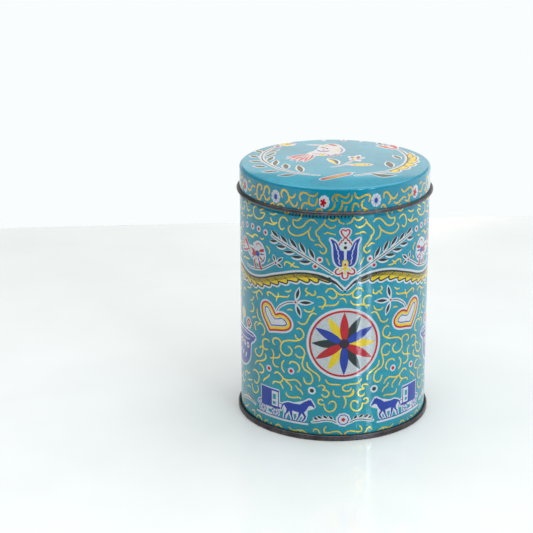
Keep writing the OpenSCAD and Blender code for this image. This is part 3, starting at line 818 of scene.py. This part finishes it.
def lid_bird():
    """Folk bird in the middle of the lid."""
    body = curve([(-1.6, 39.2), (1.4, 41.4), (5.2, 40.4), (7, 36.6), (7.6, 31), (8.3, 26), (7.2, 21),
                  (4, 16.6), (-1, 13.7), (-6, 12.7), (-11, 13.2), (-14.4, 15.6), (-12.8, 19.6),
                  (-9.4, 23.6), (-6.8, 28), (-5.6, 33), (-4, 36.8)], closed=True)
    beak = leaf((-1.6, 38.4), (-12.8, 41.2), 2.4)
    tips = ((-27.8, 11.2), (-28.4, 6.8), (-26.2, 2.8), (-22.8, -0.4), (-18.6, -2))
    tail = [leaf((-10.5, 15.6), tip, 3.2) for tip in tips]
    shapes = [("white", grow(body, 1.2)), ("white", grow(beak, 0.7))]
    shapes += [("white", grow(outline, 0.9)) for outline in tail]
    shapes += [("red", outline) for outline in tail]
    for tip in ((-25.6, 10), (-26, 6.6), (-24, 3.4), (-20.9, 0.8), (-17.4, -0.4)):
        shapes.append(("white", leaf((-12, 14.6), tip, 0.9)))
    crest = curve([(0.2, 40.8), (2.6, 41.8), (4.6, 39.6), (5.8, 36.8), (4, 35.8), (2.2, 37.6)],
                  closed=True)
    shapes += [("white", body), ("red", leaf((-4, 38.8), (-10.4, 40.6), 0.9)), ("red", crest),
               ("dark", oval((-0.6, 38), 0.5, count=14)), ("yellow", oval((-2.2, 35.6), 1.9, 1.2)),
               ("blue", leaf((-5.2, 33.6), (-1.6, 30.4), 1.9)),
               ("red", leaf((-0.8, 31.2), (-1.8, 27.2), 1.6)),
               ("blue", stroke(arc((-3.9, 25.4), 3.5, 185, 140), 1.8)), ("red", oval((-3.9, 25.6), 1.1)),
               ("yellow", leaf((-6.9, 18.4), (-5.1, 9.8), 2.3)), ("yellow", oval((4.4, 24.6), 2.4, 1.4)),
               pen("blue", [(5.4, 18.6), (7, 22.4), (7.5, 26.6), (6.8, 31)], 0.8)]
    for i in range(4):
        line = [(-11.6 + 2.2 * i, 18.4 - 0.6 * i), (-10 + 2.2 * i, 16.4 - 0.5 * i),
                (-9.6 + 2.2 * i, 14.6 - 0.2 * i)]
        shapes.append(pen("red", line, 0.6))
    for line in ([(-2.6, 13.8), (-2.2, 11.4), (-0.4, 9)], [(1.8, 15), (2.6, 12.8), (4.8, 10.8)]):
        shapes += [pen("white", line, 2.8), pen("red", line, 1.6)]
    return shapes


def lid_flower():
    """Open flower, leaf and bud on a stalk below the bird."""
    stalk = curve([(10.8, 0), (8.4, -5), (4, -10.8), (0, -13.6), (-3.4, -15)])
    shapes = [("white", stroke(stalk, 2.2)),
              pen("white", [(3.6, -10.6), (6.4, -10.8), (9.6, -10.6)], 1.8)]
    for tip in ((9.2, 9.8), (16.9, 12.4), (19.4, 5.4), (14.8, -4), (8.6, 0.6)):
        shapes.append(("white", leaf((12.8, 3), tip, 4.4)))
    for tip in ((10.4, 8.2), (16, 9.8), (17.8, 5)):
        shapes.append(("red", leaf((13, 3), tip, 1.1)))
    for tip, width in (((10.6, 7), 2.2), ((16.2, 7.4), 2.2), ((15.4, 1), 1.6), ((10, 0.6), 1.6)):
        shapes.append(("blue", leaf((12.8, 2.2), tip, width)))
    shapes.append(("yellow", oval((12.6, 3.2), 1.4, 2.6, turn=-16)))
    blade = leaf((0.8, -8.6), (-3.4, 4.4), 4.2, -0.8, 16)
    shapes += [("white", grow(blade, 1.3)), ("dark", blade),
               ("yellow", leaf((-0.2, -7.4), (-3.1, 3.2), 2.4, 0.1, 16))]
    bud = oval((14.6, -10.9), 6.4, 2.3)
    shapes += [("white", grow(bud, 0.9)), ("white", leaf((18, -11), (22.2, -11.4), 2.2)), ("yellow", bud)]
    shapes += [pen("red", [(x, -9.4), (x + 0.7, -10.9), (x, -12.4)], 0.6) for x in (10.4, 16.4, 18.6)]
    return shapes + [("red", stroke(stalk, 0.5))]


# The lid's motifs are drawn about its centre and lie this far behind it
LID_ART_SHIFT = 1.2
# Chips in its enamel: x, y and radius
LID_CHIPS = [(-18.5, -42.5, 0.5), (-11, -50.8, 0.35), (25, -40, 0.3), (7, -46, 0.3), (-37, -38, 0.35),
             (40, -34.5, 0.3)]


def lid_top_art():
    """Everything printed on top of the lid, inside its shoulder."""
    shapes = leafy_branch() + feathered_branch() + lid_petal() + lid_flower() + lid_bird()
    chips = [("dark", oval((x, y), radius, count=7)) for x, y, radius in LID_CHIPS]
    return moved(shapes, at=(0, LID_ART_SHIFT)) + chips


# ---------------------------------------------------------------- cutting the sheet

def covered(points, outline):
    """True for each point inside an outline, by its winding number."""
    a, b = outline, np.roll(outline, -1, 0)
    x, z = points[:, :1], points[:, 1:]
    side = (b[:, 0] - a[:, 0]) * (z - a[:, 1]) - (x - a[:, 0]) * (b[:, 1] - a[:, 1])
    up = (a[:, 1] <= z) & (b[:, 1] > z) & (side > 0)
    down = (a[:, 1] > z) & (b[:, 1] <= z) & (side < 0)
    return up.sum(1) != down.sum(1)


# Corners of outlines that are nearer than this become one
SNAP = 1e-5


def mosaic(shapes, border, cuts, ground):
    """Triangles of a flat sheet, cut along its border, its cuts and every outline, with their inks."""
    points, edges = [], []
    lines = [(border, True)] + [(cut, False) for cut in cuts] + [(outline, True) for _, outline in shapes]
    for line, closed in lines:
        first = len(points)
        points.extend(Vector(p) for p in line)
        edges.extend((i, i + 1) for i in range(first, len(points) - 1))
        if closed:
            edges.append((len(points) - 1, first))
    flat, _, faces, _, _, _ = delaunay_2d_cdt(points, edges, [], 0, SNAP, False)
    flat = np.array([tuple(p) for p in flat])
    faces = np.array(faces)
    middle = flat[faces].mean(1)
    inks = np.full(len(faces), ground, dtype=object)
    for ink, outline in shapes:
        near = ((middle >= outline.min(0)) & (middle <= outline.max(0))).all(1)
        index = np.flatnonzero(near)
        inks[index[covered(middle[index], outline)]] = ink
    inside = covered(middle, np.asarray(border, float))
    return flat, faces[inside], inks[inside]


# ---------------------------------------------------------------- wrapping the sheet on the tin

def wrap(flat, radius, height, slope):
    """Points and normals of a flat sheet rolled round the tin, faceted in equal columns.

    radius, height and slope are functions of the distance up the sheet; slope is the angle of the
    surface normal above the horizontal. The sheet's x runs round the tin at the wall's radius.
    """
    angle = flat[:, 0] / WALL_R
    low = np.floor(angle / COLUMN_ANGLE) * COLUMN_ANGLE
    part = ((angle - low) / COLUMN_ANGLE)[:, None]
    r, tilt = radius(flat[:, 1]), slope(flat[:, 1])

    def ring(a):
        return np.column_stack([np.sin(a), -np.cos(a)])

    plan = (ring(low) * (1 - part) + ring(low + COLUMN_ANGLE) * part) * r[:, None]
    around = ring(angle)
    points = np.column_stack([plan, height(flat[:, 1])]) * MM
    normals = np.column_stack([around * np.cos(tilt)[:, None], np.sin(tilt)])
    return points, normals


def ink_mesh(name, points, normals, faces):
    """Mesh object from triangles, shaded with the sheet's own normals."""
    used, index = np.unique(faces, return_inverse=True)
    mesh = bpy.data.meshes.new(name)
    mesh.from_pydata(points[used].tolist(), [], index.reshape(-1, 3).tolist())
    mesh.polygons.foreach_set("use_smooth", [True] * len(mesh.polygons))
    mesh.normals_split_custom_set_from_vertices(normals[used].tolist())
    obj = bpy.data.objects.new(name, mesh)
    bpy.context.scene.collection.objects.link(obj)
    return obj


def print_sheet(prefix, body, inks_of, parts, **varnish):
    """One piece per ink from wrapped parts of a sheet, each (points, normals, faces, inks).

    inks_of holds the inks as INKS does, and varnish the settings that all of them share.
    """
    for ink in sorted({ink for part in parts for ink in part[3]}):
        points, normals, faces, first = [], [], [], 0
        for p, n, f, inks in parts:
            points.append(p)
            normals.append(n)
            faces.append(f[inks == ink] + first)
            first += len(p)
        piece = ink_mesh(prefix + ink, np.vstack(points), np.vstack(normals), np.vstack(faces))
        colour, settings = inks_of[ink]
        finish = ink_finish(piece.name + "_finish", srgb(*colour), **settings, **varnish)
        piece.data.materials.append(finish)
        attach(piece, body)


def facing_out(points, faces, normals):
    """The triangles, each wound so that it faces the way of its normals."""
    a, b, c = points[faces[:, 0]], points[faces[:, 1]], points[faces[:, 2]]
    wrong = (np.cross(b - a, c - a) * normals[faces].sum(1)).sum(1) < 0
    faces = faces.copy()
    faces[wrong] = faces[wrong][:, ::-1]
    return faces


def column_lines(left, right, low, high):
    """Upright cuts, one per column of the tin, that lie between left and right but not on them."""
    pitch = FULL_TURN / COLUMNS
    first, last = math.ceil(left / pitch + 0.01), math.floor(right / pitch - 0.01)
    return [[(i * pitch, low), (i * pitch, high)] for i in range(first, last + 1)]


def row_lines(left, right, heights):
    """Level cuts at the heights where the sheet bends."""
    return [[(left, z), (right, z)] for z in heights]


# The print starts just above the double seam and ends behind the lid's hem. In between, the body sheet
# steps in to the neck in two equal bends.
STEP_BEND_ANGLE = math.radians(30)
STEP_BEND_R = (WALL_R - NECK_R) / (2 * (1 - math.cos(STEP_BEND_ANGLE)))
STEP_RISE = 2 * STEP_BEND_R * math.sin(STEP_BEND_ANGLE)
BODY_LOW = SEAM_TOP + 0.05
BODY_HIGH = HEM_Z + 0.8
# Width left bare on each side of the side seam
SEAM_MARGIN = 2.5


def step_profile(count=4):
    """Heights, radii and slopes down the step, from the wall to the neck."""
    rows = []
    for i in range(2 * count + 1):
        t = i / count
        angle = STEP_BEND_ANGLE * (t if t <= 1 else 2 - t)
        if t <= 1:
            radius = WALL_R - STEP_BEND_R * (1 - math.cos(angle))
            height = STEP_TOP - STEP_RISE + STEP_BEND_R * math.sin(angle)
        else:
            radius = NECK_R + STEP_BEND_R * (1 - math.cos(angle))
            height = STEP_TOP - STEP_BEND_R * math.sin(angle)
        rows.append((height, radius, angle))
    return np.array(rows)


def print_body():
    """The body's print: two equal halves that meet at the side seam, which stays bare."""
    profile = step_profile()
    margin = QUARTER_TURN - SEAM_MARGIN
    border = [(-QUARTER_TURN, BODY_LOW), (QUARTER_TURN, BODY_LOW), (QUARTER_TURN, BODY_HIGH),
              (-QUARTER_TURN, BODY_HIGH)]
    cuts = column_lines(-QUARTER_TURN, QUARTER_TURN, BODY_LOW, BODY_HIGH)
    cuts += row_lines(-QUARTER_TURN, QUARTER_TURN, profile[:, 0])
    cuts += [[(x, BODY_LOW), (x, BODY_HIGH)] for x in (-margin, margin)]
    flat, faces, inks = mosaic(body_art(), border, cuts, "teal")
    points, normals = wrap(flat, lambda z: np.interp(z, profile[:, 0], profile[:, 1]) + INK_LIFT,
                           lambda z: z, lambda z: np.interp(z, profile[:, 0], profile[:, 2]))
    faces = facing_out(points, faces, normals)
    across = flat[faces].mean(1)[:, 0]
    front, back = across < margin, across > -margin
    behind = np.array([-1, -1, 1])
    halves = [(points, normals, faces[front], inks[front]),
              (points * behind, normals * behind, faces[back], inks[back])]
    print_sheet("body_print_", "tin", BODY_INKS, halves, coat=0.8, rolled=0.75)


# The lid is one drawn cup. Its skirt's print starts just above the hem bead. Up the sheet lie the skirt
# and the shoulder, which runs smoothly into the dome.
SKIRT_LOW = HEM_Z + 0.6
SHOULDER_R = SKIRT_R - SHOULDER
DOME_R = (SHOULDER_R ** 2 + (DOME_H + SHOULDER) ** 2 - SHOULDER ** 2) / (2 * DOME_H)
DOME_ANGLE = math.asin(SHOULDER_R / (DOME_R - SHOULDER))
SHOULDER_TURN = math.pi / 2 - DOME_ANGLE
SHEET_HIGH = SHOULDER_Z + SHOULDER * SHOULDER_TURN


def print_lid():
    """The lid's print: skirt and shoulder wrapped in columns, and a dome cut to the same columns."""
    edge = FULL_TURN / 2
    bends = [SHOULDER_Z + SHOULDER * SHOULDER_TURN * i / 8 for i in range(8)]
    border = [(-edge, SKIRT_LOW), (edge, SKIRT_LOW), (edge, SHEET_HIGH), (-edge, SHEET_HIGH)]
    cuts = column_lines(-edge, edge, SKIRT_LOW, SHEET_HIGH) + row_lines(-edge, edge, bends)
    flat, faces, inks = mosaic(skirt_art(), border, cuts, "deep_teal")

    def turn(s):
        return np.clip((s - SHOULDER_Z) / SHOULDER, 0, SHOULDER_TURN)

    points, normals = wrap(flat, lambda s: SHOULDER_R + (SHOULDER + INK_LIFT) * np.cos(turn(s)),
                           lambda s: np.minimum(s, SHOULDER_Z) + (SHOULDER + INK_LIFT) * np.sin(turn(s)),
                           turn)
    skirt = (points, normals, facing_out(points, faces, normals), inks)

    columns = np.arange(COLUMNS) * COLUMN_ANGLE
    crown_r = SHOULDER_R + (SHOULDER + INK_LIFT) * math.sin(DOME_ANGLE)
    rim = np.column_stack([np.sin(columns), -np.cos(columns)]) * crown_r
    # Rings cut the top, so that its triangles follow the dome
    rings = [np.vstack([ring, ring[:1]]) for ring in (oval((0, 0), r, count=36) for r in range(6, 54, 8))]
    flat, faces, inks = mosaic(lid_top_art(), rim, rings, "teal")
    height = np.sqrt((DOME_R + INK_LIFT) ** 2 - (flat ** 2).sum(1))
    normals = np.column_stack([flat, height]) / (DOME_R + INK_LIFT)
    points = np.column_stack([flat, TIN_H - DOME_R + height]) * MM
    top = (points, normals, facing_out(points, faces, normals), inks)
    print_sheet("lid_print_", "lid", LID_INKS, [skirt, top])


# ---------------------------------------------------------------- materials

def srgb(*levels):
    """Linear colour from 8-bit display values."""
    shares = [level / 255 for level in levels]
    return tuple(v / 12.92 if v <= 0.04 else ((v + 0.055) / 1.055) ** 2.4 for v in shares) + (1.0,)


class Nodes:
    """A node tree under construction."""

    def __init__(self, tree):
        self.tree = tree

    def node(self, kind, **settings):
        """New node of a kind, with some of its settings."""
        made = self.tree.nodes.new(kind)
        for key, value in settings.items():
            setattr(made, key, value)
        return made

    def link(self, source, target):
        """Link from an output to an input."""
        self.tree.links.new(source, target)

    def level(self, source, low, high, to_low, to_high, **settings):
        """Source from the range low..high, spread over to_low..to_high."""
        level = self.node("ShaderNodeMapRange", **settings)
        for key, value in zip(("From Min", "From Max", "To Min", "To Max"), (low, high, to_low, to_high)):
            level.inputs[key].default_value = value
        self.link(source, level.inputs["Value"])
        return level.outputs["Result"]

    def combined(self, operation, *sources):
        """One value from two or more, by their sum, their product or the largest."""
        result = sources[0]
        for source in sources[1:]:
            node = self.node("ShaderNodeMath", operation=operation)
            self.link(result, node.inputs[0])
            self.link(source, node.inputs[1])
            result = node.outputs["Value"]
        return result

    def mix(self, amount, first, second, blend="MIX"):
        """Two colours mixed; amount, first and second may be sockets or values."""
        mix = self.node("ShaderNodeMix", data_type="RGBA", blend_type=blend)
        for socket, value in ((mix.inputs[0], amount), (mix.inputs[6], first), (mix.inputs[7], second)):
            if hasattr(value, "links"):
                self.link(value, socket)
            else:
                socket.default_value = value
        return mix.outputs[2]


class Finish(Nodes):
    """A material under construction: a Principled shader and the nodes that feed it."""

    def __init__(self, name):
        self.material = bpy.data.materials.new(name)
        self.material.use_nodes = True
        super().__init__(self.material.node_tree)
        self.shader = self.tree.nodes["Principled BSDF"]
        self.place = self.node("ShaderNodeTexCoord").outputs["Object"]

    def set(self, **values):
        """Set inputs of the shader, with underscores for the spaces in their names."""
        for key, value in values.items():
            self.shader.inputs[key.replace("_", " ")].default_value = value

    def feed(self, **sources):
        """Link sources to inputs of the shader."""
        for key, source in sources.items():
            self.link(source, self.shader.inputs[key.replace("_", " ")])

    def noise(self, size_mm, detail=3, roughness=0.5):
        """Noise whose features are about size_mm across."""
        noise = self.node("ShaderNodeTexNoise")
        noise.inputs["Scale"].default_value = 1 / (size_mm * MM)
        noise.inputs["Detail"].default_value = detail
        noise.inputs["Roughness"].default_value = roughness
        self.link(self.place, noise.inputs["Vector"])
        return noise.outputs["Fac"]

    def ramp(self, source, stops):
        """Colour ramp from (position, colour) stops."""
        ramp = self.node("ShaderNodeValToRGB")
        elements = ramp.color_ramp.elements
        while len(elements) < len(stops):
            elements.new(1)
        for element, (position, colour) in zip(elements, stops):
            element.position, element.color = position, colour
        self.link(source, ramp.inputs["Fac"])
        return ramp.outputs["Color"]

    def bump(self, height, depth_mm):
        """Relief of a depth in mm."""
        bump = self.node("ShaderNodeBump")
        bump.inputs["Distance"].default_value = depth_mm * MM
        self.link(height, bump.inputs["Height"])
        self.feed(Normal=bump.outputs["Normal"])


def grey(value):
    """Neutral linear colour."""
    return (value, value, value, 1.0)


# Heights in mm between which the body's enamel turns from its low tone into its own
LOW_TONE = (20, 130)


def ink_finish(name, colour, low=None, coat=1.0, rough=0.4, tone=0.1, metallic=0.0, rolled=0.0,
               speckle=0.1):
    """Translucent ink under varnish: clouded tone, fine speckle, uneven gloss and orange-peel relief.

    low is the colour near the foot of the tin, and rolled draws the gloss out along the sheet's grain.
    """
    finish = Finish(name)
    finish.set(Metallic=metallic, Coat_Weight=coat, Coat_Roughness=0.05, Specular_IOR_Level=0.1)
    if rolled:
        finish.set(Anisotropic=rolled, Anisotropic_Rotation=0.25)
        tangent = finish.node("ShaderNodeTangent", direction_type="RADIAL", axis="Z")
        finish.feed(Tangent=tangent.outputs["Tangent"])
    ground = colour
    if low:
        height = finish.node("ShaderNodeSeparateXYZ")
        finish.link(finish.place, height.inputs["Vector"])
        rise = finish.level(height.outputs["Z"], LOW_TONE[0] * MM, LOW_TONE[1] * MM, 0, 1)
        ground = finish.mix(rise, low, colour)
    clouds = finish.ramp(finish.noise(22, detail=4), [(0.3, grey(1 - 1.6 * tone)), (0.7, grey(1 + tone))])
    grain = finish.ramp(finish.noise(0.8, detail=2), [(0.34, grey(1 - 2.4 * speckle)), (0.54, grey(1))])
    toned = finish.mix(1.0, ground, clouds, blend="MULTIPLY")
    gloss = finish.level(finish.noise(6, detail=4), 0.3, 0.7, rough * 0.85, rough * 1.15)
    finish.feed(Base_Color=finish.mix(1.0, toned, grain, blend="MULTIPLY"), Roughness=gloss)
    finish.bump(finish.noise(0.9, detail=2), 0.0025)
    return finish.material


# Each ink: its colour as display values, and how it differs from a plain ink
TEAL_SETTINGS = {"rough": 0.45, "metallic": 0.1}
INKS = {
    "gold": ((240, 208, 44), {"metallic": 0.8, "rough": 0.3}),
    "orange": ((238, 188, 24), {"metallic": 0.75, "rough": 0.3}),
    "white": ((204, 207, 211), {"tone": 0.03, "speckle": 0.05}),
    "pale": ((190, 196, 199), {"tone": 0.03}),
    "pale_blue": ((150, 168, 196), {"tone": 0.03}),
    "red": ((184, 6, 28), {"speckle": 0.08}),
    "blue": ((4, 54, 160), {}),
    "yellow": ((228, 196, 8), {"tone": 0.05, "speckle": 0.08}),
    "dark": ((16, 38, 40), {}),
    "plum": ((36, 16, 44), {}),
}
BODY_INKS = INKS | {"teal": ((1, 142, 168), TEAL_SETTINGS | {"low": srgb(4, 145, 163)})}
# The lid's top takes a lighter teal than its skirt and shoulder, which are in the deep teal: painted
# light on the top, which faces up into the bright room. The lid's leaves are green
LID_INKS = INKS | {
    "teal": ((2, 158, 184), TEAL_SETTINGS),
    "deep_teal": ((2, 144, 172), TEAL_SETTINGS),
    "dark": ((6, 62, 44), {}),
}


def tinplate():
    """Bare tinplate: dull silver inside the tin, blackened and spotted with rust on its outer edges."""
    finish = Finish("bare_tinplate_finish")
    finish.set(Metallic=1.0)
    flat = finish.node("ShaderNodeVectorMath", operation="MULTIPLY")
    flat.inputs[1].default_value = (1, 1, 0)
    finish.link(finish.place, flat.inputs[0])
    radius = finish.node("ShaderNodeVectorMath", operation="LENGTH")
    finish.link(flat.outputs["Vector"], radius.inputs[0])
    outside = finish.level(radius.outputs["Value"], (WALL_R - 0.2) * MM, (WALL_R + 0.3) * MM, 0, 1)
    cloud = finish.noise(7, detail=6, roughness=0.65)
    places = (0.3, 0.55, 0.75)
    silvers = (srgb(128, 124, 120), srgb(164, 160, 154), srgb(186, 182, 176))
    blacks = (srgb(70, 65, 68), srgb(92, 87, 90), srgb(122, 116, 116))
    tone = finish.mix(outside, finish.ramp(cloud, list(zip(places, silvers))),
                      finish.ramp(cloud, list(zip(places, blacks))))
    spots = finish.ramp(finish.noise(1.3, detail=5, roughness=0.7), [(0.56, grey(0)), (0.66, grey(1))])
    rust = finish.combined("MULTIPLY", spots, finish.level(outside, 0, 1, 0.15, 0.8))
    gloss = finish.level(finish.noise(3, detail=5), 0.3, 0.7, 0.26, 0.46)
    finish.feed(Base_Color=finish.mix(rust, tone, srgb(70, 48, 40)), Roughness=gloss)
    finish.bump(finish.noise(0.7, detail=4), 0.006)
    return finish.material


TINPLATE = tinplate()
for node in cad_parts.values():
    node.data.materials.clear()
    node.data.materials.append(TINPLATE)

print_body()
print_lid()


# ---------------------------------------------------------------- floor, light and camera

# The table top's half width and how far it reaches in front of the tin's axis and behind it, in metres
FLOOR_HALF_W, FLOOR_FRONT, FLOOR_BACK = 1.2, 0.5, 0.39


def floor():
    """Plain pale table top, polished enough to mirror the window."""
    edges = ((-FLOOR_FRONT, -1), (-FLOOR_FRONT, 1), (FLOOR_BACK, 1), (FLOOR_BACK, -1))
    mesh = bpy.data.meshes.new("floor")
    mesh.from_pydata([(side * FLOOR_HALF_W, y, 0) for y, side in edges], [], [(0, 1, 2, 3)])
    obj = bpy.data.objects.new("floor", mesh)
    bpy.context.scene.collection.objects.link(obj)
    finish = Finish("floor_finish")
    finish.set(Roughness=0.06, Specular_IOR_Level=0.5)
    stops = [(0.3, srgb(230, 230, 228)), (0.7, srgb(234, 234, 232))]
    finish.feed(Base_Color=finish.ramp(finish.noise(60, detail=3), stops))
    obj.data.materials.append(finish.material)


# Panes of a bright window: azimuths and elevations seen from the tin, in degrees, and radiance. Azimuths
# run anticlockwise from -Y, seen from above. The panes lean sideways, which keeps their images upright
# on the tin's wall.
PANES = {"left_pane": ((22, 27.8), (15.7, 23), 44), "right_pane": ((35.3, 41.3), (15.7, 27), 22)}
PANE_DISTANCE = 3.0
PANE_COLOUR = (0.72, 0.9, 1)
PANE_LEAN = math.radians(-20)


def window_pane(name, azimuths, elevations, radiance):
    """Upright pane of the window, facing the tin."""
    low, high = (PANE_DISTANCE * math.tan(math.radians(e)) for e in elevations)
    light = bpy.data.lights.new(name, "AREA")
    light.shape = "RECTANGLE"
    light.color = PANE_COLOUR
    light.size = PANE_DISTANCE * math.radians(azimuths[1] - azimuths[0])
    light.size_y = high - low
    light.energy = radiance * math.pi * light.size * light.size_y
    obj = bpy.data.objects.new(name, light)
    angle = math.radians(sum(azimuths) / 2)
    place = (PANE_DISTANCE * math.sin(angle), -PANE_DISTANCE * math.cos(angle), (low + high) / 2)
    obj.matrix_world = (Matrix.Translation(place) @ Matrix.Rotation(angle, 4, "Z")
                        @ Matrix.Rotation(math.pi / 2, 4, "X") @ Matrix.Rotation(PANE_LEAN, 4, "Z"))
    bpy.context.scene.collection.objects.link(obj)


# Radiance of the room at the sides and overhead, and how much of it is left or added in its parts
SIDE_LIGHT, TOP_LIGHT = 1.1, 2.1
FRONT_DIM, LEFT_DIM, GAP_DIM, RIGHT_BOOST = 0.03, 0.4, 0.27, 1.3
# Sines of the elevations between which the backdrop ends, at the crown of its arch. The crown stands at
# ARCH_X, and the arch comes down by ARCH_DROP within ARCH_HALF_W on each side of it.
GAP = (0.304, 0.311)
ARCH_X, ARCH_HALF_W, ARCH_DROP = 0.12, 0.14, 0.03
# The room as the tin mirrors it, its backdrop, and the plain paper that the camera sees instead
ROOM_COLOUR, BACKDROP_COLOUR, PAPER_COLOUR = srgb(250, 254, 255), srgb(255, 236, 222), srgb(249, 253, 254)


def surroundings():
    """Pale room: a warm backdrop with a dim gap above it, bright overhead, dark on the camera's side.

    Its parts are told apart by the direction looked in, from -1 to 1: x to the right, y away from the
    camera and z up.
    """
    world = bpy.data.worlds.new("room")
    world.use_nodes = True
    sky = Nodes(world.node_tree)
    room = sky.tree.nodes["Background"]
    direction = sky.node("ShaderNodeSeparateXYZ")
    sky.link(sky.node("ShaderNodeTexCoord").outputs["Generated"], direction.inputs["Vector"])
    x, y, z = direction.outputs

    def level(*values):
        return sky.level(*values, interpolation_type="SMOOTHSTEP")

    front = sky.combined("MAXIMUM", level(y, -0.8, 0.15, FRONT_DIM, 1), level(z, 0.3, 0.9, 0, 1))
    left = sky.combined("MAXIMUM", level(x, -0.9, 0.3, LEFT_DIM, 1), level(z, 0.4, 0.9, 0, 1))
    right = level(x, 0.1, 0.8, 1, RIGHT_BOOST)
    arch = sky.combined("ADD", z, level(x, ARCH_X - ARCH_HALF_W, ARCH_X, ARCH_DROP, 0),
                        level(x, ARCH_X, ARCH_X + ARCH_HALF_W, 0, ARCH_DROP))
    gap = sky.combined("MAXIMUM", level(arch, *GAP, 1, GAP_DIM), level(z, 0.45, 0.75, 0, 1),
                       level(y, 0.1, -0.5, 0, 1))
    above = level(z, 0.3, 0.9, SIDE_LIGHT, TOP_LIGHT)
    sky.link(sky.combined("MULTIPLY", above, front, left, right, gap), room.inputs["Strength"])
    warm = sky.combined("MULTIPLY", level(arch, *GAP, 1, 0), level(y, 0, 0.5, 0, 1),
                        level(z, 0.14, 0.2, 0, 1))
    sky.link(sky.mix(warm, ROOM_COLOUR, BACKDROP_COLOUR), room.inputs["Color"])

    paper = sky.node("ShaderNodeBackground")
    paper.inputs["Color"].default_value = PAPER_COLOUR
    seen = sky.node("ShaderNodeMixShader")
    sky.link(sky.node("ShaderNodeLightPath").outputs["Is Camera Ray"], seen.inputs["Fac"])
    sky.link(room.outputs["Background"], seen.inputs[1])
    sky.link(paper.outputs["Background"], seen.inputs[2])
    sky.link(seen.outputs["Shader"], sky.tree.nodes["World Output"].inputs["Surface"])
    bpy.context.scene.world = world


# Lens in mm, place in metres, and the angles by which the camera looks down, looks left and is rolled
SENSOR, LENS = 36, 109.37
CAMERA_DISTANCE, CAMERA_HEIGHT = 0.9377, 0.4045
LOOK_DOWN, LOOK_LEFT, ROLL = (math.radians(a) for a in (18.558, 2.511, -0.207))
PRINT_TURN = math.radians(6.56)


def camera():
    """Camera a little above the lid; the tin is turned by PRINT_TURN from facing it squarely."""
    data = bpy.data.cameras.new("camera")
    data.sensor_width, data.lens = SENSOR, LENS
    obj = bpy.data.objects.new("camera", data)
    about_z = Matrix.Rotation(-PRINT_TURN, 4, "Z")
    place = Matrix.Translation((0, -CAMERA_DISTANCE, CAMERA_HEIGHT))
    look = (Matrix.Rotation(LOOK_LEFT, 4, "Z") @ Matrix.Rotation(math.pi / 2 - LOOK_DOWN, 4, "X")
            @ Matrix.Rotation(ROLL, 4, "Z"))
    obj.matrix_world = about_z @ place @ look
    bpy.context.scene.collection.objects.link(obj)
    bpy.context.scene.camera = obj


floor()
surroundings()
for name, pane in PANES.items():
    window_pane(name, *pane)
camera()

scene = bpy.context.scene
scene.view_settings.view_transform = "Standard"
